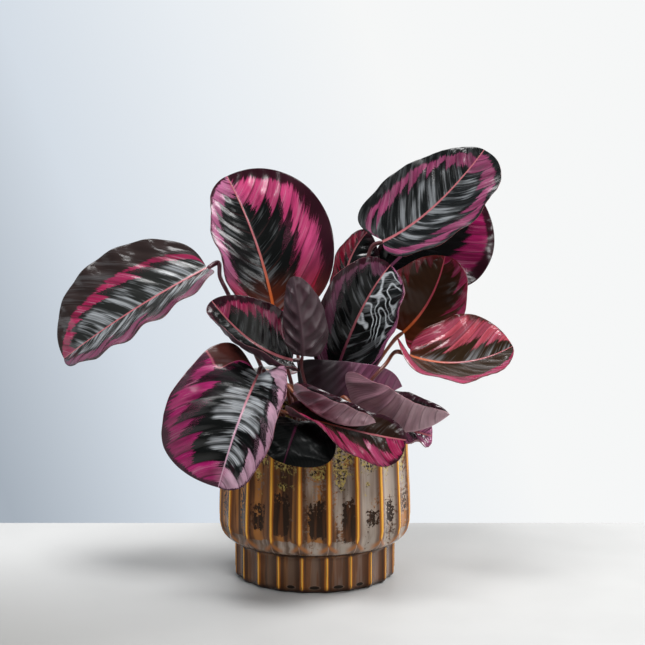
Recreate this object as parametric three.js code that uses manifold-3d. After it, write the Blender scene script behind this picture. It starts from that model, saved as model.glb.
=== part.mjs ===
// A potted calathea: a rosette of broad painted leaves in a two-tier fluted pot.
// Millimetres, +Z up. The origin is the centre of the pot's flat base. The front,
// where the low leaves hang over the rim, looks along -Y.

import * as THREE from 'three';
import { mergeVertices } from 'three/addons/utils/BufferGeometryUtils.js';
import Module from 'manifold-3d';

const wasm = await Module();
wasm.setup();

// ---- Driving dimensions --------------------------------------------------------

const CLEARANCE = 0.3; // between two pieces that touch

// Pot: two tiers of concave flutes that meet in ridges, all cut from one wall.
const POT_HEIGHT = 125;
const TIER_RADIUS = 72.5; // upper tier near the rim, over the ridges
const TIER_BULGE = 2.9; // how far the upper tier swells below that
const FOOT_RADIUS = 63.1; // lower tier, over the ridges
const WAIST_HEIGHT = 29.5; // the crease between the tiers
const FOOT_ROUNDING = 4.5; // the foot's bottom edge
const FLUTES = 21;
const FLUTE_DEPTH = 3;
const FOOT_FLUTE_DEPTH = 2.4;
const STEPS_PER_FLUTE = 4;
const WALL = 6.5; // from a ridge to the inside
const FLOOR = 7;
const RIM_FLARE = 1.6; // how much wider the mouth is than the inside below it
const INNER_RADIUS = TIER_RADIUS - WALL;
const INNER_FOOT_RADIUS = FOOT_RADIUS - WALL;
const SHELF_LOW = WAIST_HEIGHT + 2; // the inside widens from here
const SHELF_HIGH = WAIST_HEIGHT + 12; // to here

// Soil: a loose fill, mounded towards the stems.
const SOIL_HEIGHT = 104; // at the pot's wall
const SOIL_MOUND = 4; // how much higher it is in the middle
const SOIL_LUMP = 0.8; // height of the lumps on its top
const SOIL_LUMPS_ROUND = 3; // lumps on a circle
const SOIL_SIDES = 40;
const SOIL_RINGS = [1, 0.8, 0.55, 0.3]; // of the top, as shares of its radius

// Stems stand this deep in holes in the soil, and leave it upright.
const ROOT_DEPTH = 12;
const ROOT_RISE = 3;
const STEM_SIDES = 6;
const STEM_STEPS = 9;
const STEM_LEAD = 10; // the stem's last stretch runs in line with the midrib
const SEAT_GAP = 0.45; // from the stem's end to the blade

// Blades.
const BLADE_THICKNESS = 0.8;
const RIB_THICKNESS = 1.8; // along the midrib
const BLADE_END = 1.6; // half width left at the base and at the tip
const END_SHARPNESS = 0.95; // of most blades: low for round ends, high for pointed ones
const FOLD_FADE = 10; // how soon a margin's fold gives way along the midrib
const FOLD_END = 0.5; // where across a half a fold is complete
const FOLD_BREADTH = 0.4; // share of its full width that a half needs for a full fold
const SECTION_STEPS = 24; // in which a half is followed outwards
const LOBE_FADE = 6; // how soon the lobes give way along the midrib
const LOBE_GAIN = 3.2; // brings the lobes to their full reach just past the base
const LEAF_ROWS = 10; // from base to tip
const HALF_STEPS = 3; // from midrib to margin

// Each leaf: its midrib from base through mid to tip, the way its upper face looks
// at the base and at the tip, and its two halves. Left and right are those of
// someone who looks at the upper face with the tip up. A half has its width, how far
// along the midrib it is broadest, the angle at which it leaves the midrib at the base
// and at the tip, and the angle that it curls through from there at the base and at
// the tip, in degrees, upwards. The lobes reach back beside the stem, left and right.
// The wave is its height, how many there are along the margin, and where it starts.
// Folds are the further angles that the margins turn through beside the base, left
// and right, and sharpness is that of the blade's ends. The root is where the stem
// leaves the soil, and via holds the points that the stem passes.
const LEAVES = [
  {
    name: 'upper_left', base: [-32, 12, 205], mid: [-46, 20, 258], tip: [-69, 32, 309],
    face: [[0.15, -0.95, 0.25], [0.15, -0.95, 0.3]], lobes: [5, 5],
    left: [42, 0.45, 20, 20, 30, 30], right: [60, 0.48, 5, 5, 10, 10],
    wave: [1.5, 3, 0], root: [-10, 8], stem: 1.7,
  },
  {
    name: 'upper_right', base: [53, 12, 259], mid: [91, 4, 286], tip: [130, 6, 330],
    face: [[-0.2, -0.75, 0.6], [-0.2, -0.75, 0.6]], lobes: [12, 3],
    left: [43, 0.38, 10, 10, 10, 10], right: [40, 0.62, 10, 10, 10, 10],
    wave: [1.5, 4, 0], root: [12, 8], stem: 1.7, via: [[34, 10, 190]],
  },
  {
    name: 'right_behind', base: [56, 38, 234], mid: [92, 44, 266], tip: [130, 48, 294],
    face: [[0.1, -0.95, 0.2], [0.1, -0.95, 0.2]], lobes: [5, 5],
    left: [24, 0.45, 10, 10, 10, 10], right: [54, 0.52, 5, 5, 10, 10],
    wave: [1.5, 3, 0], root: [16, 14], stem: 1.6, via: [[40, 30, 195]],
  },
  {
    name: 'centre_behind', base: [26, 24, 202], mid: [25, 30, 236], tip: [42, 36, 266],
    face: [[0.1, -0.9, 0.2], [0.1, -0.9, 0.2]], lobes: [5, 5],
    left: [14, 0.45, 20, 20, 20, 20], right: [28, 0.45, 10, 10, 10, 10],
    wave: [1.5, 3, 0], root: [2, 12], stem: 1.5,
  },
  {
    name: 'centre_glossy', base: [18, -8, 164], mid: [37, -12, 211], tip: [58, -10, 243],
    face: [[-0.2, -0.9, 0.3], [-0.2, -0.9, 0.3]], lobes: [5, 5],
    left: [34, 0.45, 30, 30, 20, 20], right: [40, 0.45, 8, 15, 30, 40],
    wave: [1.5, 3, 0], root: [6, -8], stem: 1.6,
  },
  {
    name: 'centre_under', base: [-12, -30, 149], mid: [26, -38, 142], tip: [66, -30, 153],
    face: [[0, 0.2, 1], [0, 0.2, 1]], lobes: [5, 6],
    left: [12, 0.45, 45, 45, 0, 0], right: [31, 0.4, 80, 70, 10, 20],
    wave: [1.5, 3, 0], root: [4, -12], stem: 1.5, sharpness: 0.6,
  },
  {
    name: 'right_red', base: [69, 8, 189], mid: [89, 4, 215], tip: [101, 10, 248],
    face: [[-0.2, -0.9, 0.2], [-0.2, -0.9, 0.2]], lobes: [5, 5],
    left: [36, 0.45, 25, 25, 10, 10], right: [31, 0.45, 10, 10, 10, 10],
    wave: [1.5, 3, 0], root: [18, 2], stem: 1.6,
  },
  {
    name: 'right_flat', base: [72, -24, 175], mid: [111, -32, 171], tip: [149, -36, 184],
    face: [[-0.1, -0.8, 0.6], [-0.1, -0.8, 0.6]], lobes: [5, 12],
    left: [38, 0.55, 10, 10, 10, 10], right: [35, 0.42, 35, 25, 20, 10],
    wave: [1.5, 3, 0], root: [16, -14], stem: 1.7, via: [[27, -35, 129], [39, -46, 155], [53, -42, 171]],
    folds: [0, 135],
  },
  {
    name: 'front_right', base: [28, -54, 142], mid: [63, -80, 128], tip: [97, -94, 143],
    face: [[0.1, -0.1, 1], [0.1, -0.1, 1]], lobes: [5, 12],
    left: [30, 0.45, 60, 60, 0, 0], right: [34, 0.36, 75, 65, 10, 10],
    wave: [1.5, 3, 0], root: [14, -24], stem: 1.6, via: [[14, -37, 129]],
  },
  {
    name: 'front_centre', base: [-15, -58, 152], mid: [14, -86, 136], tip: [44, -98, 138],
    face: [[0.1, -0.1, 1], [0.1, -0.1, 1]], lobes: [4, 4],
    left: [18, 0.45, 60, 60, 0, 0], right: [17, 0.45, 75, 75, 10, 10],
    wave: [1.5, 3, 0], root: [-12, -24], stem: 1.5,
  },
  {
    name: 'front_low', base: [-18, -58, 136], mid: [28, -84, 129], tip: [66, -95, 124],
    face: [[0, -0.7, 0.7], [0, -0.97, 0.25]], lobes: [5, 5],
    left: [18, 0.45, 15, 0, -10, -20], right: [25, 0.58, 85, -10, 15, 0],
    wave: [1.5, 3, 0], root: [-18, -29], stem: 1.5, sharpness: 0.8,
  },
  {
    name: 'far_left', base: [-83, 4, 239], mid: [-139, -12, 208], tip: [-192, -12, 171],
    face: [[-0.1, -0.8, 0.6], [-0.1, -0.8, 0.6]], lobes: [3, 2],
    left: [46, 0.48, 42, 36, 0, 0], right: [51, 0.48, 10, 10, 10, 10],
    wave: [2, 5, 0], root: [-22, 0], stem: 1.9, via: [[-66, -4, 219], [-73, 2, 233]],
  },
  {
    name: 'left_folded', base: [-17, -20, 171], mid: [-47, -44, 189], tip: [-76, -50, 220],
    face: [[0, -0.9, 0.4], [0, -0.9, 0.4]], lobes: [2, 2],
    left: [28, 0.45, 10, 10, 110, 130], right: [32, 0.45, 10, 10, 10, 10],
    wave: [1.5, 3, 0], root: [-14, -6], stem: 1.6,
  },
  {
    name: 'young_upright', base: [-9, -44, 178], mid: [-10, -46, 201], tip: [-16, -40, 237],
    face: [[0.1, 0.95, 0], [0.1, 0.95, 0]], lobes: [2, 2],
    left: [22, 0.45, 20, 20, 20, 20], right: [16, 0.45, 20, 20, 20, 20],
    wave: [0.8, 3, 0], root: [2, -26], stem: 1.4, via: [[-2, -38, 138]],
  },
  {
    name: 'low_left', base: [-42, -50, 164], mid: [-56, -88, 132], tip: [-69, -98, 90],
    face: [[0, -0.8, 0.6], [0, -0.95, 0.1]], lobes: [5, 9],
    left: [42, 0.45, 35, 35, 20, 20], right: [58, 0.5, 36, 0, 50, 10],
    wave: [1.5, 3, 0], root: [-20, -16], stem: 1.8,
  },
  {
    name: 'low_centre', base: [-12, -60, 131], mid: [-16, -84, 124], tip: [-22, -95, 107],
    face: [[0, -0.5, 0.8], [0, -0.85, 0.4]], lobes: [4, 4],
    left: [33, 0.55, 6, -20, 0, 0], right: [24, 0.55, 10, 10, 10, 10],
    wave: [1, 3, 0], root: [-7, -33], stem: 1.5,
  },
  {
    name: 'small_right', base: [58, -53, 128], mid: [74, -62, 124], tip: [87, -64, 121],
    face: [[0, -0.9, 0.45], [0, -0.9, 0.45]], lobes: [3, 3],
    left: [14, 0.5, 10, 10, 20, 20], right: [18, 0.6, 10, 10, 60, 90],
    wave: [2, 3, 0], root: [26, -14], stem: 1.3,
  },
  {
    name: 'back_left', base: [-30, 40, 150], mid: [-56, 80, 148], tip: [-80, 114, 122],
    face: [[-0.2, 0.2, 1], [-0.4, 0.6, 0.7]], lobes: [5, 5],
    left: [34, 0.45, 0, 0, -10, -10], right: [34, 0.45, 0, 0, -10, -10],
    wave: [1.5, 4, 0], root: [-12, 18], stem: 1.6,
  },
  {
    name: 'back_centre', base: [2, 46, 132], mid: [8, 88, 128], tip: [14, 126, 98],
    face: [[0, -0.1, 1], [0, 0.7, 0.7]], lobes: [5, 5],
    left: [38, 0.45, 0, 0, -10, -10], right: [38, 0.45, 0, 0, -10, -10],
    wave: [1.5, 4, 1], root: [0, 22], stem: 1.6,
  },
  {
    name: 'back_right', base: [33, 38, 140], mid: [56, 80, 128], tip: [70, 118, 98],
    face: [[0.2, 0.2, 1], [0.4, 0.6, 0.7]], lobes: [5, 5],
    left: [34, 0.45, 0, 0, -10, -10], right: [34, 0.45, 0, 0, -10, -10],
    wave: [1.5, 4, 2], root: [14, 20], stem: 1.6,
  },
  {
    name: 'back_high_left', base: [-20, 36, 205], mid: [-36, 64, 240], tip: [-46, 98, 222],
    face: [[0, -0.3, 0.9], [0, 0.8, 0.6]], lobes: [5, 5],
    left: [34, 0.45, 10, 10, 10, 10], right: [34, 0.45, 10, 10, 10, 10],
    wave: [1.5, 4, 1], root: [-8, 14], stem: 1.6,
  },
  {
    name: 'back_high_right', base: [44, 48, 198], mid: [56, 76, 230], tip: [64, 108, 210],
    face: [[0, -0.3, 0.9], [0, 0.8, 0.6]], lobes: [5, 5],
    left: [32, 0.45, 10, 10, 10, 10], right: [34, 0.45, 10, 10, 10, 10],
    wave: [1.5, 4, 2], root: [8, 20], stem: 1.6,
  },
];

// ---- Small helpers -------------------------------------------------------------

const point = (values) => new THREE.Vector3(...values);
const radians = THREE.MathUtils.degToRad;
const lerp = THREE.MathUtils.lerp;

// A closed geometry from its vertices and the triangles between them.
function closedGeometry(vertices, triangles) {
  const geometry = new THREE.BufferGeometry().setFromPoints(vertices);
  geometry.setIndex(triangles.flat());
  return geometry;
}

// A geometry with only merged positions, as a solid that can be joined and cut.
function toSolid(source) {
  const bare = source.clone();
  bare.deleteAttribute('normal');
  bare.deleteAttribute('uv');
  const merged = mergeVertices(bare, 1e-4);
  return new wasm.Manifold(new wasm.Mesh({
    numProp: 3,
    vertProperties: merged.attributes.position.array,
    triVerts: new Uint32Array(merged.index.array),
  }));
}

function fromSolid(cut) {
  const mesh = cut.getMesh();
  const geometry = new THREE.BufferGeometry();
  geometry.setAttribute('position', new THREE.BufferAttribute(mesh.vertProperties, 3));
  geometry.setIndex(new THREE.BufferAttribute(mesh.triVerts, 1));
  return geometry;
}

// A solid of rings, each a list of points round +Z, closed by a fan at each end.
function ringedGeometry(startPole, rings, endPole) {
  const sides = rings[0].length;
  const vertices = [startPole, ...rings.flat(), endPole];
  const last = vertices.length - 1;
  const at = (ring, side) => 1 + ring * sides + (side % sides);
  const triangles = [];
  for (let side = 0; side < sides; side += 1) {
    triangles.push([0, at(0, side + 1), at(0, side)]);
    for (let ring = 0; ring + 1 < rings.length; ring += 1) {
      const [a, b] = [at(ring, side), at(ring, side + 1)];
      const [c, d] = [at(ring + 1, side + 1), at(ring + 1, side)];
      triangles.push([a, b, c], [a, c, d]);
    }
    triangles.push([last, at(rings.length - 1, side), at(rings.length - 1, side + 1)]);
  }
  return closedGeometry(vertices, triangles);
}

// ---- Pot -----------------------------------------------------------------------

// Rings of the pot's outside, from the base up: height, ridge radius, flute depth.
// The flutes of both tiers run out in arches at the waist.
const POT_OUTSIDE = [
  [0, FOOT_RADIUS - FOOT_ROUNDING, 0],
  [FOOT_ROUNDING * 0.35, FOOT_RADIUS - FOOT_ROUNDING * 0.3, 0.6],
  [FOOT_ROUNDING, FOOT_RADIUS, FOOT_FLUTE_DEPTH],
  [WAIST_HEIGHT - 5, FOOT_RADIUS, FOOT_FLUTE_DEPTH],
  [WAIST_HEIGHT, FOOT_RADIUS - 0.8, 0.6],
  [WAIST_HEIGHT + 1, FOOT_RADIUS + 2.5, 0],
  [WAIST_HEIGHT + 4.5, TIER_RADIUS - 3.4, 0.8],
  [WAIST_HEIGHT + 9, TIER_RADIUS + TIER_BULGE * 0.4, 2.2],
  [WAIST_HEIGHT + 18, TIER_RADIUS + TIER_BULGE, FLUTE_DEPTH],
  [POT_HEIGHT * 0.62, TIER_RADIUS + TIER_BULGE * 0.65, FLUTE_DEPTH],
  [POT_HEIGHT - 7, TIER_RADIUS + TIER_BULGE * 0.1, FLUTE_DEPTH],
  [POT_HEIGHT - 1.5, TIER_RADIUS - 1, 1.2],
  [POT_HEIGHT, TIER_RADIUS - 2.6, 0.4],
];

// Rings of the inside, from the rim down to the floor: height and radius.
const POT_INSIDE = [
  [POT_HEIGHT, INNER_RADIUS + RIM_FLARE],
  [POT_HEIGHT - RIM_FLARE, INNER_RADIUS],
  [SHELF_HIGH, INNER_RADIUS],
  [SHELF_LOW, INNER_FOOT_RADIUS],
  [FLOOR, INNER_FOOT_RADIUS],
];

// A flute is centred at the front, and its depth follows a parabola.
function fluteDepthAt(step) {
  const across = (step % STEPS_PER_FLUTE) / STEPS_PER_FLUTE;
  return 1 - (2 * across - 1) ** 2;
}

function circle(sides, height, radiusAt, turn = 0) {
  return Array.from({ length: sides }, (_, side) => {
    const angle = turn + (side / sides) * 2 * Math.PI;
    const radius = radiusAt(side);
    return new THREE.Vector3(radius * Math.cos(angle), radius * Math.sin(angle), height);
  });
}

function potGeometry() {
  const sides = FLUTES * STEPS_PER_FLUTE;
  const firstRidge = -Math.PI / 2 + Math.PI / FLUTES;
  const outside = POT_OUTSIDE.map(([height, ridge, depth]) =>
    circle(sides, height, (side) => ridge - depth * fluteDepthAt(side), firstRidge));
  const inside = POT_INSIDE.map(([height, radius]) =>
    circle(sides, height, () => radius, firstRidge));
  const base = new THREE.Vector3(0, 0, 0);
  const floor = new THREE.Vector3(0, 0, FLOOR);
  return ringedGeometry(base, [...outside, ...inside], floor);
}

// ---- Soil ----------------------------------------------------------------------

// Height of the soil's top at a distance from the middle, with low lumps round it.
function soilTop(radius, angle, reach) {
  const mound = SOIL_MOUND * (1 - (radius / reach) ** 2);
  const turn = SOIL_LUMPS_ROUND * angle + radius / 9;
  const lump = SOIL_LUMP * Math.sin(turn) * Math.sin(radius / 11);
  return SOIL_HEIGHT + mound + lump;
}

// The soil fills the pot's inside, CLEARANCE short of it all round.
function soilGeometry(stemHoles) {
  const reach = INNER_RADIUS - CLEARANCE;
  const narrow = INNER_FOOT_RADIUS - CLEARANCE;
  const fill = [
    [FLOOR + CLEARANCE, narrow],
    [SHELF_LOW, narrow],
    [SHELF_HIGH + CLEARANCE, reach],
  ].map(([height, radius]) => circle(SOIL_SIDES, height, () => radius));
  const top = SOIL_RINGS.map((share) => {
    const radius = reach * share;
    const ring = circle(SOIL_SIDES, 0, () => radius);
    ring.forEach((spot) => {
      spot.z = soilTop(radius, Math.atan2(spot.y, spot.x), reach);
    });
    return ring;
  });
  const bottomPole = new THREE.Vector3(0, 0, FLOOR + CLEARANCE);
  const topPole = new THREE.Vector3(0, 0, soilTop(0, 0, reach));
  let soil = toSolid(ringedGeometry(bottomPole, [...fill, ...top], topPole));
  for (const hole of stemHoles) {
    soil = soil.subtract(toSolid(hole));
  }
  return fromSolid(soil);
}

// ---- Leaves --------------------------------------------------------------------

// The midrib is one smooth bend through base, mid and tip.
function midribOf(leaf) {
  const [base, mid, tip] = [leaf.base, leaf.mid, leaf.tip].map(point);
  const pull = mid.clone().multiplyScalar(2).addScaledVector(base, -0.5).addScaledVector(tip, -0.5);
  return new THREE.QuadraticBezierCurve3(base, pull, tip);
}

// Share of a half's full width at u, from a round base to a short blunt tip.
function outlineAt(u, broadest, sharpness) {
  const atBase = (u / broadest) ** (sharpness * broadest);
  const atTip = ((1 - u) / (1 - broadest)) ** (sharpness * (1 - broadest));
  return atBase * atTip;
}

// A half blade's surface angle at a share of the way from midrib to margin.
function angleAt(half, fold, u, breadth, share) {
  const [, , liftBase, liftTip, curlBase, curlTip] = half;
  const lift = lerp(liftBase, liftTip, u);
  const curl = lerp(curlBase, curlTip, u) * breadth * share;
  const allowed = fold * (1 - u) ** FOLD_FADE * THREE.MathUtils.smoothstep(breadth, 0, FOLD_BREADTH);
  const folded = allowed * THREE.MathUtils.smoothstep(share, 0, FOLD_END);
  return radians(lift + curl + folded);
}

// A point of a half blade: how far out and up it lies, and its surface's angle.
function crossSection(half, fold, u, shape, share) {
  const fullWidth = half[0];
  const width = BLADE_END + (fullWidth - BLADE_END) * shape;
  const stride = (share * width) / SECTION_STEPS;
  let out = 0;
  let up = 0;
  for (let step = 0; step < SECTION_STEPS; step += 1) {
    const near = (share * (step + 0.5)) / SECTION_STEPS;
    const angle = angleAt(half, fold, u, width / fullWidth, near);
    out += stride * Math.cos(angle);
    up += stride * Math.sin(angle);
  }
  return { out, up, angle: angleAt(half, fold, u, width / fullWidth, share) };
}

// The blade: an upper and a lower grid, split into triangles alike, and a rim.
function bladeGeometry(leaf) {
  const midrib = midribOf(leaf);
  const [faceBase, faceTip] = leaf.face.map(point);
  const columns = 2 * HALF_STEPS + 1;
  const upper = [];
  const lower = [];
  for (let row = 0; row <= LEAF_ROWS; row += 1) {
    const u = (1 - Math.cos((Math.PI * row) / LEAF_ROWS)) / 2;
    const centre = midrib.getPoint(u);
    const along = midrib.getTangent(u);
    const face = faceBase.clone().lerp(faceTip, u);
    face.addScaledVector(along, -face.dot(along)).normalize();
    const right = along.clone().cross(face);
    for (let column = -HALF_STEPS; column <= HALF_STEPS; column += 1) {
      const side = Math.sign(column);
      const share = Math.abs(column) / HALF_STEPS;
      const half = side < 0 ? leaf.left : leaf.right;
      const fold = (leaf.folds ?? [0, 0])[side < 0 ? 0 : 1];
      const shape = outlineAt(u, half[1], leaf.sharpness ?? END_SHARPNESS);
      const section = crossSection(half, fold, u, shape, share);
      const lobe = leaf.lobes[side < 0 ? 0 : 1] * LOBE_GAIN * shape * (1 - u) ** LOBE_FADE;
      const [height, count, start] = leaf.wave;
      const wave = height * shape * share ** 2 * Math.sin(2 * Math.PI * count * u + start + side);
      const normal = column === 0 ? face.clone()
        : face.clone().multiplyScalar(Math.cos(section.angle))
          .addScaledVector(right, -side * Math.sin(section.angle));
      const spot = centre.clone()
        .addScaledVector(along, -lobe * share ** 1.5)
        .addScaledVector(right, side * section.out)
        .addScaledVector(face, section.up)
        .addScaledVector(normal, wave);
      const skin = (column === 0 ? RIB_THICKNESS : BLADE_THICKNESS) / 2;
      upper.push(spot.clone().addScaledVector(normal, skin));
      lower.push(spot.clone().addScaledVector(normal, -skin));
    }
  }
  const under = upper.length;
  const triangles = [];
  for (let row = 0; row < LEAF_ROWS; row += 1) {
    for (let column = 0; column + 1 < columns; column += 1) {
      const a = row * columns + column;
      const [b, c, d] = [a + 1, a + columns + 1, a + columns];
      const split = column < HALF_STEPS ? [[a, b, d], [b, c, d]] : [[a, b, c], [a, c, d]];
      for (const [i, j, k] of split) {
        triangles.push([i, j, k], [under + i, under + k, under + j]);
      }
    }
  }
  const lastRow = LEAF_ROWS * columns;
  const rim = [
    ...Array.from({ length: columns - 1 }, (_, i) => i),
    ...Array.from({ length: LEAF_ROWS }, (_, i) => i * columns + columns - 1),
    ...Array.from({ length: columns - 1 }, (_, i) => lastRow + columns - 1 - i),
    ...Array.from({ length: LEAF_ROWS }, (_, i) => lastRow - i * columns),
  ];
  rim.forEach((from, index) => {
    const to = rim[(index + 1) % rim.length];
    triangles.push([to, from, under + from], [to, under + from, under + to]);
  });
  return closedGeometry([...upper, ...lower], triangles);
}

// A round bar along a list of points, with its ends square to it.
function barGeometry(points, radius, steps) {
  const section = new THREE.Shape();
  for (let side = 0; side < STEM_SIDES; side += 1) {
    const angle = (side / STEM_SIDES) * 2 * Math.PI;
    const move = side === 0 ? 'moveTo' : 'lineTo';
    section[move](radius * Math.cos(angle), radius * Math.sin(angle));
  }
  section.closePath();
  const path = new THREE.CatmullRomCurve3(points, false, 'centripetal');
  return new THREE.ExtrudeGeometry(section, { steps, extrudePath: path, bevelEnabled: false });
}

// A stem rises from its hole in the soil and ends square to the blade's base.
function stemPath(leaf, depth) {
  const base = point(leaf.base);
  const along = midribOf(leaf).getTangent(0);
  const [x, y] = leaf.root;
  return [
    new THREE.Vector3(x, y, SOIL_HEIGHT - depth),
    new THREE.Vector3(x, y, SOIL_HEIGHT + SOIL_MOUND + ROOT_RISE),
    ...(leaf.via ?? []).map(point),
    base.clone().addScaledVector(along, -STEM_LEAD),
    base.clone().addScaledVector(along, -SEAT_GAP),
  ];
}

function stemGeometry(leaf) {
  return barGeometry(stemPath(leaf, ROOT_DEPTH), leaf.stem, STEM_STEPS);
}

// The hole that a stem stands in is the stem's own path, a little wider and deeper.
function stemHole(leaf) {
  const path = stemPath(leaf, ROOT_DEPTH + CLEARANCE);
  return barGeometry(path, leaf.stem + 2 * CLEARANCE, STEM_STEPS);
}

// ---- Assembly ------------------------------------------------------------------

function finish(color, roughness) {
  return new THREE.MeshStandardMaterial({ color, roughness, metalness: 0 });
}

const plant = new THREE.Group();

function addPiece(name, geometry, material) {
  const piece = new THREE.Mesh(geometry, material);
  piece.name = name;
  plant.add(piece);
}

addPiece('pot', potGeometry(), finish(0x6b3b12, 0.18));
addPiece('soil', soilGeometry(LEAVES.map(stemHole)), finish(0x2a1c13, 0.95));
for (const leaf of LEAVES) {
  addPiece(`blade_${leaf.name}`, bladeGeometry(leaf), finish(0x2b1a26, 0.3));
  addPiece(`stem_${leaf.name}`, stemGeometry(leaf), finish(0x8c3a3f, 0.45));
}

export default plant;
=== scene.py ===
"""A potted calathea: painted leaves on slim stems in a two-tier fluted pot.

Shapes are worked out in millimetres and turned into metres when a mesh is made.
"""

import logging
import math
from collections.abc import Callable
from dataclasses import dataclass, field
from enum import Enum

import bpy
import numpy as np
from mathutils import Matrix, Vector


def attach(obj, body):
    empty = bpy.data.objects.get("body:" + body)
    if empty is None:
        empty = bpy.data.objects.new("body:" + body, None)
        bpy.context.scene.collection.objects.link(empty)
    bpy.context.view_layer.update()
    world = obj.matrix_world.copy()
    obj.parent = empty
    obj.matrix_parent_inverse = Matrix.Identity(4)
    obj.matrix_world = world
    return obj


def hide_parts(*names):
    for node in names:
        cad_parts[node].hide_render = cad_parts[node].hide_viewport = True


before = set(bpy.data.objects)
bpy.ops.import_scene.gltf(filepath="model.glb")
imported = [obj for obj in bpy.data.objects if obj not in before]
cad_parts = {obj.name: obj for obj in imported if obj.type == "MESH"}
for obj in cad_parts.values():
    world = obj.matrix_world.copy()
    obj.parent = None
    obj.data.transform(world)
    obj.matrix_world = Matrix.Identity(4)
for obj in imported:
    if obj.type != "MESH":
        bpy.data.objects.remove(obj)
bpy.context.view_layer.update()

LOG = logging.getLogger("calathea")
BODY = "root"
MM = 0.001

Triple = tuple[float, float, float]


# ---- Colours ---------------------------------------------------------------------


class Tone(Enum):
    """Colours of the plant and the pot, as linear red, green and blue."""

    NEAR_BLACK = (0.0042, 0.0050, 0.0050)
    UMBER = (0.022, 0.010, 0.006)
    OLIVE_BROWN = (0.030, 0.016, 0.007)
    SLATE = (0.022, 0.023, 0.022)
    SMOKE = (0.034, 0.023, 0.022)
    RED_BROWN = (0.036, 0.014, 0.006)
    MAROON = (0.030, 0.006, 0.012)
    PLUM = (0.050, 0.010, 0.026)
    BURGUNDY = (0.045, 0.012, 0.024)
    DARK_BURGUNDY = (0.030, 0.009, 0.015)
    SHADED_PLUM = (0.014, 0.005, 0.009)
    DARK_RUST = (0.075, 0.014, 0.010)
    MAUVE = (0.240, 0.098, 0.128)
    # SHADED_MAUVE and LIT_MAUVE are one mauve painted in shade and in light, and SHADED_PLUM is plum painted in
    # shade.
    SHADED_MAUVE = (0.220, 0.100, 0.130)
    LIT_MAUVE = (0.350, 0.215, 0.245)
    MAGENTA = (0.330, 0.010, 0.098)
    VIVID = (0.430, 0.012, 0.145)
    BRIGHT_ROSE = (0.600, 0.055, 0.190)
    ROSE = (0.370, 0.018, 0.085)
    CRIMSON = (0.380, 0.012, 0.044)
    LILAC = (0.400, 0.110, 0.230)
    PALE_LILAC = (0.560, 0.330, 0.430)
    CORAL = (0.520, 0.075, 0.110)
    ORCHID = (0.190, 0.052, 0.110)
    DULL_PINK = (0.360, 0.055, 0.160)
    RUST = (0.110, 0.018, 0.006)
    BROWN_FLAP = (0.070, 0.020, 0.016)
    RIB_PINK = (0.450, 0.130, 0.150)
    RIB_ORANGE = (0.620, 0.130, 0.030)
    RIB_PLUM = (0.130, 0.030, 0.055)
    STEM_MAROON = (0.075, 0.013, 0.016)
    STEM_ORANGE = (0.250, 0.070, 0.020)

    def rgb(self) -> np.ndarray:
        """The colour as an array."""
        return np.array(self.value, float)


class Sheen(Enum):
    """How glossy a blade's upper face is: its roughness."""

    MIRROR = 0.10
    GLOSSY = 0.17
    SATIN = 0.28


# ---- Small helpers ---------------------------------------------------------------


def smooth(value: np.ndarray, low: float, high: float) -> np.ndarray:
    """A smooth step.

    Args:
        value: What is stepped.
        low: Where the step is 0.
        high: Where it is 1.

    Returns:
        The step's height at each value.
    """
    share = np.clip((value - low) / (high - low), 0.0, 1.0)
    return share * share * (3.0 - 2.0 * share)


def unit(vectors: np.ndarray) -> np.ndarray:
    """The vectors, each at length 1."""
    return vectors / np.linalg.norm(vectors, axis=-1, keepdims=True)


def blend(low: np.ndarray, high: np.ndarray, share: np.ndarray) -> np.ndarray:
    """Colours between two, one for each share."""
    return low + (high - low) * np.asarray(share)[..., None]


def around(radius: np.ndarray, angle: np.ndarray, z: np.ndarray) -> np.ndarray:
    """Points around the upright axis, from their radius, angle and height."""
    return np.stack(np.broadcast_arrays(radius * np.cos(angle), radius * np.sin(angle), z), axis=-1)


def through(points: list[Triple], steps: int) -> np.ndarray:
    """Points on a centripetal spline.

    Args:
        points: What the spline passes through.
        steps: How many equal steps of its parameter to take.

    Returns:
        The points, steps + 1 of them.
    """
    knots = np.array(points, float)
    knots = np.vstack([2 * knots[0] - knots[1], knots, 2 * knots[-1] - knots[-2]])
    spans = len(points) - 1
    found = []
    for t in np.linspace(0.0, spans, steps + 1):
        first = min(int(t), spans - 1)
        w = t - first
        p0, p1, p2, p3 = knots[first : first + 4]
        d0, d1, d2 = (max(np.linalg.norm(b - a) ** 0.5, 1e-4) for a, b in ((p0, p1), (p1, p2), (p2, p3)))
        m1 = d1 * ((p1 - p0) / d0 - (p2 - p0) / (d0 + d1) + (p2 - p1) / d1)
        m2 = d1 * ((p2 - p1) / d1 - (p3 - p1) / (d1 + d2) + (p3 - p2) / d2)
        found.append(p1 + m1 * w + (3 * (p2 - p1) - 2 * m1 - m2) * w**2 + (2 * (p1 - p2) + m1 + m2) * w**3)
    return np.array(found)


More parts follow.
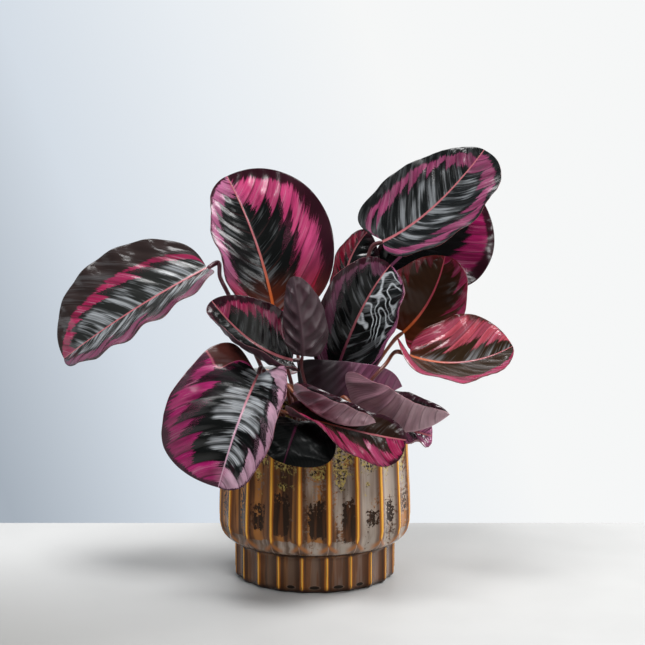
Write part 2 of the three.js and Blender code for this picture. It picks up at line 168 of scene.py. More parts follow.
class MeshParts:
    """Collects grids of points, in millimetres, into one mesh.

    Each grid brings the values that the material reads, under the same names.
    """

    def __init__(self) -> None:
        """Starts with nothing in the mesh."""
        self.points: list[np.ndarray] = []
        self.faces: list[list[int]] = []
        self.slots: list[int] = []
        self.values: dict[str, list[np.ndarray]] = {}
        self.count = 0

    def vertices(self, points: np.ndarray, values: dict[str, np.ndarray]) -> np.ndarray:
        """Adds loose points.

        Args:
            points: Points, with the last axis for x, y and z.
            values: One number or vector for each point, by name.

        Returns:
            The points' numbers in the mesh, in the shape of the array.
        """
        shape = points.shape[:-1]
        self.points.append(points.reshape(-1, 3))
        for name, value in values.items():
            wide = np.broadcast_to(value, shape + np.shape(value)[len(shape) :])
            self.values.setdefault(name, []).append(wide.reshape(int(np.prod(shape)), -1))
        first = self.count
        self.count += int(np.prod(shape))
        return np.arange(first, self.count).reshape(shape)

    def skin(self, index: np.ndarray, slot: int = 0, flip: bool = False, wrap: bool = False) -> None:
        """Adds the faces of a grid of points.

        Args:
            index: The grid's point numbers, in rows and columns.
            slot: The faces' material.
            flip: Whether the faces look the other way.
            wrap: Whether the last column joins the first.
        """
        if wrap:
            index = np.hstack([index, index[:, :1]])
        a, b = index[:-1, :-1], index[:-1, 1:]
        c, d = index[1:, 1:], index[1:, :-1]
        order = (a, d, c, b) if flip else (a, b, c, d)
        self.add(np.stack(order, axis=-1).reshape(-1, 4), slot)

    def add(self, faces: np.ndarray, slot: int = 0) -> None:
        """Adds faces, one in each row of point numbers."""
        self.faces.extend(faces.tolist())
        self.slots.extend([slot] * len(faces))

    def cap(self, index: np.ndarray, poles: np.ndarray, values: dict[str, np.ndarray]) -> None:
        """Closes a wrapped grid with triangles, at its first row and its last.

        Args:
            index: The grid's point numbers.
            poles: The two points in the middles of the ends.
            values: Their values, by name.
        """
        first, last = self.vertices(poles, values)
        for loop, pole, flip in ((index[0], first, True), (index[-1], last, False)):
            here, there = (np.roll(loop, -1), loop) if flip else (loop, np.roll(loop, -1))
            self.add(np.stack([np.full_like(loop, pole), here, there], axis=-1))

    def build(self, name: str, materials: list[bpy.types.Material]) -> bpy.types.Object:
        """Makes the mesh an object.

        Args:
            name: The object's name.
            materials: Its materials, in the order of the slots.

        Returns:
            The object, smooth and linked to the scene.
        """
        mesh = bpy.data.meshes.new(name)
        points = np.vstack(self.points) * MM
        mesh.from_pydata(points.tolist(), [], self.faces)
        for material in materials:
            mesh.materials.append(material)
        mesh.polygons.foreach_set("material_index", self.slots)
        mesh.polygons.foreach_set("use_smooth", [True] * len(mesh.polygons))
        for key, parts in self.values.items():
            data = np.vstack(parts).astype(np.float32)
            kind, field_name = ("FLOAT", "value") if data.shape[1] == 1 else ("FLOAT_VECTOR", "vector")
            mesh.attributes.new(key, kind, "POINT").data.foreach_set(field_name, data.ravel())
        mesh.update()
        made = bpy.data.objects.new(name, mesh)
        bpy.context.scene.collection.objects.link(made)
        return made


def settle(piece: bpy.types.Object, nodes: tuple[str, ...] = ()) -> bpy.types.Object:
    """Puts a finished piece on the part.

    Args:
        piece: The piece, in place.
        nodes: The solids that it stands for.

    Returns:
        The same piece.
    """
    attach(piece, BODY)
    if nodes:
        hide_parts(*nodes)
    LOG.info("%s: %d faces", piece.name, len(piece.data.polygons))
    return piece


# ---- Shaders ---------------------------------------------------------------------


class Value:
    """A number, vector or colour in a shader, with which sums can be written."""

    def __init__(self, tree: "Tree", socket: bpy.types.NodeSocket) -> None:
        """Keeps an output and the tree that it is in."""
        self.tree, self.socket = tree, socket

    def math(self, operation: str, *terms: "Value | float") -> "Value":
        """The result of a math node on this value and the terms."""
        return self.tree.node("Math", dict(enumerate((self, *terms))), operation=operation)

    def __add__(self, other: "Value | float") -> "Value":
        """This value and another."""
        return self.math("ADD", other)

    def __sub__(self, other: "Value | float") -> "Value":
        """This value less another."""
        return self.math("SUBTRACT", other)

    def __mul__(self, other: "Value | float") -> "Value":
        """This value times another."""
        return self.math("MULTIPLY", other)

    def __truediv__(self, other: "Value | float") -> "Value":
        """This value divided by another."""
        return self.math("DIVIDE", other)

    def __pow__(self, power: float) -> "Value":
        """This value to a power."""
        return self.math("POWER", power)

    def __abs__(self) -> "Value":
        """This value without its sign."""
        return self.math("ABSOLUTE")

    def step(self, low: float, high: float, least: float = 0.0, most: float = 1.0) -> "Value":
        """A smooth step of this value.

        Args:
            low: Where the step starts.
            high: Where it ends.
            least: The result below low.
            most: The result above high.

        Returns:
            The step's height.
        """
        inputs = {"Value": self, "From Min": low, "From Max": high, "To Min": least, "To Max": most}
        return self.tree.node("MapRange", inputs, interpolation_type="SMOOTHSTEP")


Term = Value | Tone | Triple | float
Sizes = tuple[float, ...]


class Tree:
    """A node tree, with one method for each kind of node that is often used."""

    def __init__(self, tree: bpy.types.NodeTree) -> None:
        """Keeps the tree that the nodes are added to."""
        self.tree = tree

    def plug(self, socket: bpy.types.NodeSocket, term: Term) -> None:
        """Gives an input its value, and a plain colour its alpha.

        Args:
            socket: The input.
            term: A value, a colour or a number.
        """
        plain = term.value if isinstance(term, Tone) else term
        if isinstance(plain, Value):
            self.tree.links.new(plain.socket, socket)
        else:
            socket.default_value = (*plain, 1.0) if socket.type == "RGBA" else plain

    def node(self, kind: str, inputs: dict[int | str, Term], output: int | str = 0, **settings: str) -> Value:
        """Adds a node.

        Args:
            kind: The node's type.
            inputs: What it works on, by input name or number.
            output: Which of its outputs is wanted.
            **settings: The node's own properties.

        Returns:
            The output.
        """
        made = self.tree.nodes.new(f"ShaderNode{kind}")
        for key, setting in settings.items():
            setattr(made, key, setting)
        for key, term in inputs.items():
            self.plug(made.inputs[key], term)
        return Value(self, made.outputs[output])

    def value(self, name: str) -> Value:
        """A number that the mesh carries."""
        return self.node("Attribute", {}, "Fac", attribute_name=name)

    def color(self, name: str) -> Value:
        """A colour that the mesh carries."""
        return self.node("Attribute", {}, "Color", attribute_name=name)

    def vector(self, name: str) -> list[Value]:
        """The three numbers of a vector that the mesh carries."""
        return self.split(self.node("Attribute", {}, "Vector", attribute_name=name))

    def place(self) -> Value:
        """The point's own place in the object, in metres."""
        return self.node("TexCoord", {}, "Object")

    def split(self, vector: Value) -> list[Value]:
        """The three numbers of a vector."""
        return [Value(self, part) for part in self.node("SeparateXYZ", {0: vector}).socket.node.outputs]

    def join(self, x: Value, y: Value, z: Value | float) -> Value:
        """A vector from three numbers."""
        return self.node("CombineXYZ", {0: x, 1: y, 2: z})

    def mix(self, share: Value, low: Term, high: Term) -> Value:
        """A mix of two colours, with this share of the second."""
        return self.node("Mix", {0: share, 6: low, 7: high}, 2, data_type="RGBA")

    def noise(self, at: Value, scale: float, detail: float = 2.0, rough: float = 0.5) -> Value:
        """Soft noise from 0 to 1 at a vector."""
        return self.node("TexNoise", {"Vector": at, "Scale": scale, "Detail": detail, "Roughness": rough})

    def bump(self, height: Value, strength: float, distance: float, under: Value | None = None) -> Value:
        """A bumped normal.

        Args:
            height: The height, from 0 to 1.
            strength: How much of the bump shows.
            distance: The height of 1, in metres.
            under: A normal that the bump goes on top of.

        Returns:
            The normal.
        """
        inputs = {"Height": height, "Strength": strength, "Distance": distance}
        return self.node("Bump", inputs if under is None else inputs | {"Normal": under})


class Shader(Tree):
    """A material's node tree."""

    def __init__(self, name: str) -> None:
        """Starts a material with only its surface shader."""
        self.material = bpy.data.materials.new(name)
        self.material.use_nodes = True
        super().__init__(self.material.node_tree)
        self.surface = next(n for n in self.tree.nodes if n.type == "BSDF_PRINCIPLED")

    def finish(self, **inputs: Term) -> bpy.types.Material:
        """Sets the surface's inputs, by name with _ for a space, and gives the material."""
        for key, term in inputs.items():
            self.plug(self.surface.inputs[key.replace("_", " ")], term)
        return self.material


class BladeShader(Shader):
    """A shader that follows a blade's side veins, one at each whole number of the count."""

    def __init__(self, name: str) -> None:
        """Reads how far out a point lies, how many veins lie below it, and the leaf's seed."""
        super().__init__(name)
        self.out, self.count, self.seed = self.vector("vein_map")
        self.phase = self.count.math("FRACT")
        self.line = abs(self.phase - 0.5).step(0.42, 0.5)

    def fibres(self, out: float, count: float, detail: float, rough: float = 0.5, shift: float = 0.0) -> Value:
        """Soft noise along the side veins.

        Args:
            out: Its scale outwards.
            count: Its scale from one vein to the next.
            detail: How many finer layers it has.
            rough: How strong these are.
            shift: What keeps it apart from the others.

        Returns:
            The noise, from 0 to 1.
        """
        return self.noise(self.join(self.out * out, self.count * count, self.seed + shift), 1.0, detail, rough)

    def panel(self, shift: float, output: str) -> Value:
        """Random numbers, the same all over a panel between two side veins."""
        return self.node("TexWhiteNoise", {0: self.join(self.count.math("FLOOR"), self.seed, shift)}, output)


@dataclass(frozen=True)
class UpperFinish:
    """A blade's upper face: dark heart, feathered band, dark margin and bright midrib, with painted sheen on the
    heart.
    """

    sheen: Sheen
    coat: float = 0.15
    # The white of the painted sheen, a painted reflection.
    sheen_white: Triple = (0.560, 0.590, 0.620)
    # Scales of the noises outwards and from vein to vein, with their detail and roughness.
    streaks: Sizes = (0.045, 2.4, 3.0)
    feathers: Sizes = (0.10, 11.0, 4.0, 0.7)
    threads: Sizes = (0.03, 16.0, 3.0, 0.6)
    sheen_threads: Sizes = (0.04, 7.0, 3.0, 0.6)
    sheen_clouds: Sizes = (0.04, 1.2, 2.0)
    contour_scale: float = 44.0
    contours: float = 9.0
    # Where each step starts and ends, and its least and its most.
    vein_fade: Sizes = (2.0, 26.0, 0.35, 0.0)
    rib_edge: Sizes = (0.55, 1.05, 1.0, 0.0)
    flap_inside: Sizes = (0.3, 0.5)
    flap_edge: float = 0.35
    flap_line: Sizes = (0.02, 0.08, 0.7, 0.0)
    lilac_panels: Sizes = (0.6, 1.0, 0.0, 0.3)
    sheen_edge: Sizes = (0.56, 0.78)
    after_vein: Sizes = (0.0, 0.16, 0.1, 1.0)
    before_vein: Sizes = (0.8, 0.98, 1.0, 0.1)
    band_start: Sizes = (-0.04, 0.06)
    band_end: Sizes = (0.88, 1.08, 1.0, 0.0)
    panel_strength: Sizes = (0.0, 0.5, 0.62, 1.0)
    start_spread: float = 0.95
    end_spread: float = 0.3

    def material(self) -> bpy.types.Material:
        """Makes the material.

        Returns:
            The material.
        """
        s = BladeShader(f"blade_upper_{self.sheen.name.lower()}")
        ring = s.value("ring")
        streak, feather, lines = s.fibres(*self.streaks), s.fibres(*self.feathers), s.fibres(*self.threads)
        tint = s.mix(s.panel(4.0, "Value").step(*self.lilac_panels), s.color("band"), Tone.LILAC)
        # Pale lilac streaks in the band: painted sheen.
        pale = lines.step(0.50, 0.66) * streak.step(0.46, 0.62)
        tint = s.mix(pale * s.value("pale"), tint, Tone.PALE_LILAC)
        paint = s.mix(self.band(s, ring, streak, feather), self.ground(s, ring, lines), tint)
        flap = s.value("flap")
        paint = s.mix(flap.step(*self.flap_inside), paint, Tone.BROWN_FLAP)
        paint = s.mix(abs(flap - self.flap_edge).step(*self.flap_line), paint, Tone.RIB_PINK)
        side = s.line * s.out.step(*self.vein_fade) * s.value("side_veins")
        for share in (side, s.value("rib").step(*self.rib_edge)):
            paint = s.mix(share, paint, s.color("rib_tone"))
        gloss = s.value("gloss")
        return s.finish(
            Base_Color=paint, Roughness=streak * 0.16 + (self.sheen.value - 0.08),
            Normal=s.bump(feather, 0.07, 0.0005, s.bump(lines, 0.16, 0.0005)),
            Coat_Weight=gloss * self.coat, Coat_Roughness=0.05, Specular_IOR_Level=gloss * 0.5,
        )

    def ground(self, s: BladeShader, ring: Value, lines: Value) -> Value:
        """The heart and the margin, with painted sheen: a pale reflection in fine lines between the side veins, and
        painted swirls of it.

        Args:
            s: The blade's shader.
            ring: Place across the band, from 0 at its inner edge to 1 at its outer one.
            lines: Fine noise.

        Returns:
            The colour.
        """
        tone = s.mix(ring.step(0.3, 1.0), s.color("heart"), s.color("margin"))
        # Painted sheen: pale reflection in clouded threads between the side veins.
        share = s.value("painted_sheen")
        threads, clouds = s.fibres(*self.sheen_threads), s.fibres(*self.sheen_clouds, shift=9.0)
        painted_sheen = ((threads - 0.5) * 0.7 + clouds + share * 0.2).step(*self.sheen_edge)
        painted_sheen = painted_sheen * s.phase.step(*self.after_vein) * s.phase.step(*self.before_vein)
        painted_sheen = painted_sheen * lines.step(0.36, 0.62, 0.3, 0.8) * share.step(0.0, 1.0)
        # Painted swirls of sheen: contour lines of noise, a painted reflection.
        contour = (s.noise(s.place(), self.contour_scale, 1.0, 0.4) * self.contours).math("FRACT")
        curl = abs(contour - 0.5).step(0.02, 0.20, 0.9, 0.0) * lines.step(0.3, 0.6, 0.5, 1.0)
        return s.mix(painted_sheen.math("MAXIMUM", curl * s.value("painted_swirls")), tone, self.sheen_white)

    def band(self, s: BladeShader, ring: Value, streak: Value, feather: Value) -> Value:
        """How much of the band shows: each panel between two side veins starts and fades by itself.

        Args:
            s: The blade's shader.
            ring: Place across the band, from 0 at its inner edge to 1 at its outer one.
            streak: Broad noise.
            feather: Fine noise.

        Returns:
            The band's share.
        """
        first, second, third = s.split(s.panel(0.0, "Color"))
        fine, ragged = (feather - 0.5) * 1.1, s.value("ragged")
        inner = ((first - 0.5) * self.start_spread + fine - (s.phase - 0.5) * 0.6) * ragged + ring
        outer = ((streak - 0.5) * 0.8 + fine + (second - 0.5) * self.end_spread) * ragged + ring
        band = inner.step(*self.band_start) * outer.step(*self.band_end) * s.line.step(0.0, 1.0, 1.0, 0.4)
        return band * streak.step(0.30, 0.54, 0.55, 1.0) * third.step(*self.panel_strength) * s.value("strength")


@dataclass(frozen=True)
class UnderFinish:
    """A blade's lower face: matt burgundy to mauve, with veins that stand out."""

    rough: float = 0.42
    ribs: float = 56.0

    def material(self) -> bpy.types.Material:
        """Makes the material.

        Returns:
            The material.
        """
        s = BladeShader("blade_under")
        streak = s.fibres(0.05, 3.0, 4.0, 0.6)
        tone = s.mix(streak.step(0.3, 0.7), s.color("under"), s.color("under_pale"))
        tone = s.mix(s.line * 0.45, tone, s.color("margin"))
        tone = s.mix(s.value("rib").step(0.8, 1.6, 0.8, 0.0), tone, s.color("under_rib"))
        ribbed = s.bump((s.count * self.ribs).math("SINE"), 0.15, 0.0004)
        return s.finish(
            Base_Color=tone, Roughness=streak * 0.2 + (self.rough - 0.1),
            Normal=s.bump(streak, 0.25, 0.001, ribbed), Sheen_Weight=0.12, Sheen_Roughness=0.5,
        )


@dataclass(frozen=True)
class RimFinish:
    """The thin pale line along a blade's edge."""

    rough: float = 0.4
    pale: Triple = (0.315, 0.091, 0.105)

    def material(self) -> bpy.types.Material:
        """Makes the material.

        Returns:
            The material.
        """
        s = Shader("blade_rim")
        speckle = s.noise(s.place(), 220.0).step(0.35, 0.65, 0.15, 1.0)
        return s.finish(Base_Color=s.mix(speckle, s.color("margin"), self.pale), Roughness=self.rough)


@dataclass(frozen=True)
class StemFinish:
    """A stem: maroon at the soil, orange-brown under the blade, with fine lines along it."""

    rough: float = 0.38

    def material(self) -> bpy.types.Material:
        """Makes the material.

        Returns:
            The material.
        """
        s = Shader("leaf_stem")
        run, turn, seed = s.vector("stem_map")
        lines = s.noise(s.join(run * 2.5, turn * 22.0, seed), 1.0, 3.0)
        blotch = s.noise(s.place(), 90.0, 3.0).step(0.35, 0.7, 0.0, 0.55)
        tone = s.mix(blotch, s.color("stem_tone"), Tone.STEM_MAROON)
        tone = s.mix(lines.step(0.5, 0.75, 0.0, 0.35), tone, Tone.RIB_PINK)
        normal = s.bump(lines, 0.3, 0.0004)
        return s.finish(Base_Color=tone, Roughness=self.rough, Normal=normal, Coat_Weight=0.2, Coat_Roughness=0.2)


class GlazeShader(Shader):
    """The glaze's shader, with the maps and the noises that its layers share."""

    def __init__(self) -> None:
        """Reads the place on the pot, and makes noise that runs down it and noise in all directions."""
        super().__init__("pot_glaze")
        self.across, self.height, self.turn = self.vector("glaze_map")
        self.wide = abs(self.across)
        self.x, y, z = self.split(self.place())
        drawn = self.join(self.x, y, z * 0.08)
        self.streak, self.lane = self.noise(drawn, 230.0), self.noise(drawn, 110.0, 1.0)
        self.patch = self.noise(self.join(self.x, y, z * 0.45), 60.0, 3.0)
        self.grain = self.noise(self.place(), 420.0, 4.0, 0.65)
        self.speck = self.noise(self.place(), 520.0, 3.0, 0.65)


@dataclass(frozen=True)
class GlazeFinish:
    """The pot's glaze: amber on the ridges, brown in the flutes, with a pale haze that is partly painted reflection,
    gold flecks, painted shade beside the ridges and under the hem, and painted highlights and reflections on the
    foot.

    Heights are in millimetres, and places across a flute run from -1 to 1.
    """

    # The darkest browns also paint shade beside the ridges and under the hem; the hazes are partly painted
    # reflection, and the grey is painted reflection on the foot.
    pooled_and_shade: Triple = (0.018, 0.008, 0.005)
    dark_and_shade: Triple = (0.055, 0.022, 0.011)
    seeped_and_shade: Triple = (0.105, 0.036, 0.014)
    brown: Triple = (0.210, 0.082, 0.032)
    streaked: Triple = (0.420, 0.165, 0.040)
    edge: Triple = (0.360, 0.110, 0.014)
    fork: Triple = (0.400, 0.150, 0.045)
    amber: Triple = (1.000, 0.500, 0.062)
    gold: Triple = (0.540, 0.410, 0.120)
    fleck: Triple = (0.012, 0.008, 0.006)
    haze_and_reflection: Triple = (0.170, 0.115, 0.085)
    pale_haze_and_reflection: Triple = (0.440, 0.375, 0.320)
    reflected_grey: Triple = (0.215, 0.160, 0.140)
    waist: float = 29.5
    arch: float = 32.0
    flutes: float = 21.0
    # Where each step starts and ends, and its least and its most.
    lanes: Sizes = (0.44, 0.54, 0.0, 0.85)
    hem_paleness: Sizes = (36.0, 48.0, 0.14, 0.0)
    hem_haze: Sizes = (47.0, 51.0, 0.9, 0.0)
    rim_haze: Sizes = (64.0, 90.0, 0.0, 0.25)
    haze_edge: Sizes = (0.42, 0.66, 0.0, 0.9)
    patch_edge: Sizes = (0.7, 1.2, 1.0, 0.0)
    patch_tearing: Sizes = (-0.6, 1.0, 2.5, 7.0)
    dust_height: Sizes = (122.0, 132.0)
    gold_specks: Sizes = (0.47, 0.55)
    dark_specks: Sizes = (0.53, 0.58)
    ridge_flank: Sizes = (0.14, 0.42)
    ridge_top: Sizes = (0.46, 0.74)
    fork_edge: Sizes = (0.3, 3.4, 0.8, 0.0)
    hem_shadow_edge: Sizes = (0.4, 2.2, 0.9, 0.0)
    foot_hollow_highlight: Sizes = (0.15, 0.72, 0.62, 0.0)
    foot_flank_shade: Sizes = (0.0, 0.62, 0.0, 0.8)
    foot_lane: Sizes = (0.50, 0.60, 0.0, 0.6)
    bottom_edge: Sizes = (0.5, 6.0, 0.85, 0.0)
    reflected_oval_sizes: Sizes = (0.6, 3.0, 0.42, 0.16)
    reflected_oval_middle: float = 5.75
    reflected_oval_rim: float = 1.2

    def material(self) -> bpy.types.Material:
        """Makes the material.

        Returns:
            The material.
        """
        s = GlazeShader()
        tone = s.mix(s.streak.step(0.42, 0.58), self.dark_and_shade, self.brown)
        run = s.lane.step(*self.lanes) * s.height.step(self.waist, self.waist + 8.0, 0.25, 1.0)
        tone = s.mix(run * s.wide.step(0.45, 0.8, 1.0, 0.3), tone, self.streaked)
        # Paler to the right: painted reflection of the light from the right, with streaks, and paler over the hem.
        paleness_and_reflection = s.x * 4.0 + s.streak + s.height.step(*self.hem_paleness)
        tone = s.mix(self.clouded(s), tone, s.mix(paleness_and_reflection.step(0.38, 0.75), self.haze_and_reflection, self.pale_haze_and_reflection))
        # Painted shade beside the ridges.
        tone = s.mix(s.wide.step(0.46, 0.72, 0.0, 0.5), tone, self.seeped_and_shade)
        tone = s.mix(self.patched(s), tone, s.mix(s.streak.step(0.48, 0.64), self.pooled_and_shade, self.seeped_and_shade))
        tone = self.footed(s, self.ridged(s, self.dusted(s, tone)))
        return s.finish(
            Base_Color=tone, Roughness=s.height.step(70.0, 110.0) * 0.08 + 0.14,
            Normal=s.bump(s.grain, 0.05, 0.0003, s.bump(s.patch, 0.10, 0.002)), Coat_Weight=0.10,
            Coat_Roughness=0.04, Specular_IOR_Level=0.22, Specular_Tint=(1.0, 0.78, 0.58),
        )

    def clouded(self, s: GlazeShader) -> Value:
        """How much haze lies on the brown: near the rim and near the hem, and more in the right flutes, where it is
        painted reflection.

        Args:
            s: The glaze's shader.

        Returns:
            The haze's share.
        """
        ragged = s.grain - 0.5
        hem = (ragged * 9.0 + s.patch * 14.0 + s.height).step(*self.hem_haze)
        share = hem.math("MAXIMUM", s.vector("patch_size")[2] + s.height.step(*self.rim_haze))
        share = share + (s.patch - 0.5) * 1.8 + ragged * 1.5
        return s.height.step(self.waist, self.waist + 2.0) * share.step(*self.haze_edge)

    def patched(self, s: GlazeShader) -> Value:
        """The dark patch of a flute: a rounded oblong, more ragged towards its top.

        Args:
            s: The glaze's shader.

        Returns:
            The patch's share.
        """
        middle, level, presence = s.vector("patch_at")
        half_width, half_height = s.vector("patch_size")[:2]
        out, up = (s.across - middle) / half_width, (s.height - level) / half_height
        faint = presence * -1.0 + 1.0
        ragged = (s.grain - 0.5) * up.step(*self.patch_tearing) * (faint * 6.0 + 1.0)
        far = out**4.0 + up**4.0 + ragged + faint * 0.9
        return far.step(*self.patch_edge) * presence.step(0.1, 0.6)

    def dusted(self, s: GlazeShader, tone: Value) -> Value:
        """The glaze with clusters of gold and dark flecks towards the rim.

        Args:
            s: The glaze's shader.
            tone: The glaze's colour so far.

        Returns:
            The colour.
        """
        cluster = s.noise(s.place(), 110.0, 3.0, 0.6)
        dust = (cluster * 80.0 + s.height - s.wide**2.0 * 30.0).step(*self.dust_height)
        tone = s.mix(dust * s.speck.step(*self.gold_specks), tone, self.gold)
        return s.mix(dust * s.grain.step(*self.dark_specks), tone, self.fleck)

    def ridged(self, s: GlazeShader, tone: Value) -> Value:
        """The glaze with thin amber on the ridges, which fork at the hem, painted shade beside the ridges and a
        painted shadow under the hem at the waist.

        Args:
            s: The glaze's shader.
            tone: The glaze's colour so far.

        Returns:
            The colour.
        """
        # Painted shade on the flanks beside each ridge.
        tone = s.mix(s.wide.step(0.50, 0.74, 0.0, 0.35), tone, self.dark_and_shade)
        worn = (s.streak - 0.5) * 0.5 + s.value("ridge")
        tone = s.mix(worn.step(*self.ridge_flank), tone, self.edge)
        tone = s.mix(worn.step(*self.ridge_top), tone, self.amber)
        arch = s.wide**2.2 * 6.0 + s.patch * 3.0 + self.arch
        fork = abs(s.height - arch).step(*self.fork_edge) * s.wide.step(0.1, 0.6)
        # Painted shadow under the hem: a dark line at the waist.
        hem_shadow = abs(s.height - s.patch * 4.0 - (self.waist - 2.0)).step(*self.hem_shadow_edge)
        return s.mix(hem_shadow, s.mix(fork, tone, self.fork), self.pooled_and_shade)

    def footed(self, s: GlazeShader, tone: Value) -> Value:
        """The foot: a painted highlight in the middle of the flutes, greyer on the right as painted reflection,
        painted shade on one side of each flute, dark at its bottom edge, and four small dark ovals in front, painted
        reflections.

        Args:
            s: The glaze's shader.
            tone: The glaze's colour so far.

        Returns:
            The colour.
        """
        foot = s.height.step(self.waist - 2.5, self.waist - 0.5, 1.0, 0.0)
        # Painted reflection: the foot greyer on the right side of the pot.
        reflected_grey = s.mix(s.x.step(-0.03, 0.03), self.haze_and_reflection, self.reflected_grey)
        # Painted highlight in the middle of each flute, and painted shade on one side of it.
        hollow = abs(s.across - 0.1).step(*self.foot_hollow_highlight)
        flank_shade = s.across.step(*self.foot_flank_shade) * s.wide.step(0.72, 0.8, 1.0, 0.0)
        lane = s.streak.step(*self.foot_lane) * s.wide.step(0.6, 0.75, 1.0, 0.0)
        for share, colour in ((hollow, reflected_grey), (flank_shade, self.dark_and_shade), (lane, self.seeped_and_shade)):
            tone = s.mix(foot * share, tone, colour)
        tone = s.mix(s.height.step(*self.bottom_edge), tone, self.pooled_and_shade)
        # Painted reflections: four small dark ovals with pale rims in the front flutes.
        number = abs((s.turn + 0.25).math("FRACT") * self.flutes - self.reflected_oval_middle)
        reflected_oval = (s.across / number.step(*self.reflected_oval_sizes)) ** 2.0 + (s.height * 0.75 - 3.4) ** 2.0
        few = number.step(2.0, 2.1, 1.0, 0.0)
        tone = s.mix(few * abs(reflected_oval - self.reflected_oval_rim).step(0.1, 0.5, 0.6, 0.0), tone, self.haze_and_reflection)
        return s.mix(few * reflected_oval.step(0.8, 1.1, 1.0, 0.0), tone, self.fleck)


@dataclass(frozen=True)
class SoilFinish:
    """Damp potting mix."""

    wet: Triple = (0.010, 0.006, 0.004)
    dry: Triple = (0.060, 0.036, 0.022)

    def material(self) -> bpy.types.Material:
        """Makes the material.

        Returns:
            The material.
        """
        s = Shader("soil")
        crumb, clod = s.noise(s.place(), 260.0, 5.0, 0.65), s.noise(s.place(), 60.0, 3.0)
        tone = s.mix(crumb.step(0.35, 0.7), self.wet, self.dry)
        return s.finish(Base_Color=tone, Roughness=0.9, Normal=s.bump(clod, 0.6, 0.003, s.bump(crumb, 0.9, 0.002)))


@dataclass(frozen=True)
class ChipFinish:
    """Bark chips and pale grains on the soil."""

    pitted: Triple = (0.012, 0.007, 0.005)

    def material(self) -> bpy.types.Material:
        """Makes the material.

        Returns:
            The material.
        """
        s = Shader("soil_chip")
        grain = s.noise(s.place(), 400.0, 4.0)
        tone = s.mix(grain.step(0.3, 0.7, 0.0, 0.6), s.color("chip_tone"), self.pitted)
        return s.finish(Base_Color=tone, Roughness=0.85, Normal=s.bump(grain, 0.6, 0.001))


# ---- Leaves ----------------------------------------------------------------------


@dataclass(frozen=True)
class Band:
    """The painted band of one half: where it lies from midrib to margin, and its colour."""

    inner: float = 0.62
    outer: float = 0.86
    strength: float = 1.0
    tone: Tone = Tone.MAGENTA


NO_BAND = Band(0.7, 0.9, 0.0)
WIDE_PINK = Band(0.52, 0.86, 1.0, Tone.ROSE)
EDGE_PINK = Band(0.72, 0.97, 1.0, Tone.ROSE)


@dataclass(frozen=True)
class Half:
    """One half of a blade.

    Lift is the angle at which it leaves the midrib, at the base and at the tip, and
    curl the angle that it turns through from there, in degrees, upwards.
    """

    width: float
    broadest: float
    lift: tuple[float, float] = (10, 10)
    curl: tuple[float, float] = (10, 10)
    band: Band = NO_BAND
    # Where across the band the painted sheen fades out.
    painted_sheen_end: float = -0.5


@dataclass(frozen=True)
class Leaf:
    """A leaf's place, form and paint, in millimetres and degrees.

    Left and right are those of someone who looks at the upper face with the tip up.
    A wave is its height, how many there are and where they start. The stem rises
    from root, passes through via, and is as thick as stem says, by its radius.
    """

    name: str
    base: Triple
    mid: Triple
    tip: Triple
    face: Triple
    root: tuple[float, float]
    stem: float
    left: Half
    right: Half
    tip_face: Triple | None = None
    lobes: tuple[float, float] = (5, 5)
    wave: Triple = (1.5, 3, 0)
    via: tuple[Triple, ...] = ()
    folds: tuple[float, float] = (0.0, 0.0)
    sharpness: float = 0.95
    heart: Tone = Tone.NEAR_BLACK
    margin: Tone = Tone.MAROON
    under: Tone = Tone.BURGUNDY
    under_tip: Tone | None = None
    rib: Tone = Tone.RIB_PINK
    rib_base: Tone = Tone.RIB_ORANGE
    # Painted glow near the base, as of light shining through the blade.
    backlit_glow: float = 0.0
    side_veins: float = 0.0
    # Painted sheen on the upper face, a painted reflection, and how much of it is kept past the band.
    painted_sheen: float = 0.2
    painted_sheen_out: float = 0.0
    ragged: float = 1.0
    lean: float = 1.0
    flap: float = 0.0
    # How strong the pale lilac streaks of painted sheen in the band are.
    pale: float = 0.5
    gloss: float = 1.0
    closing: float = 1.0
    # Painted swirls of sheen on the right half of the upper face.
    painted_swirls: float = 0.0
    unevenness: float = 0.7
    relief: float = 1.15
    veins: int = 9
    sheen: Sheen = Sheen.GLOSSY
    stem_tone: Tone = Tone.STEM_ORANGE


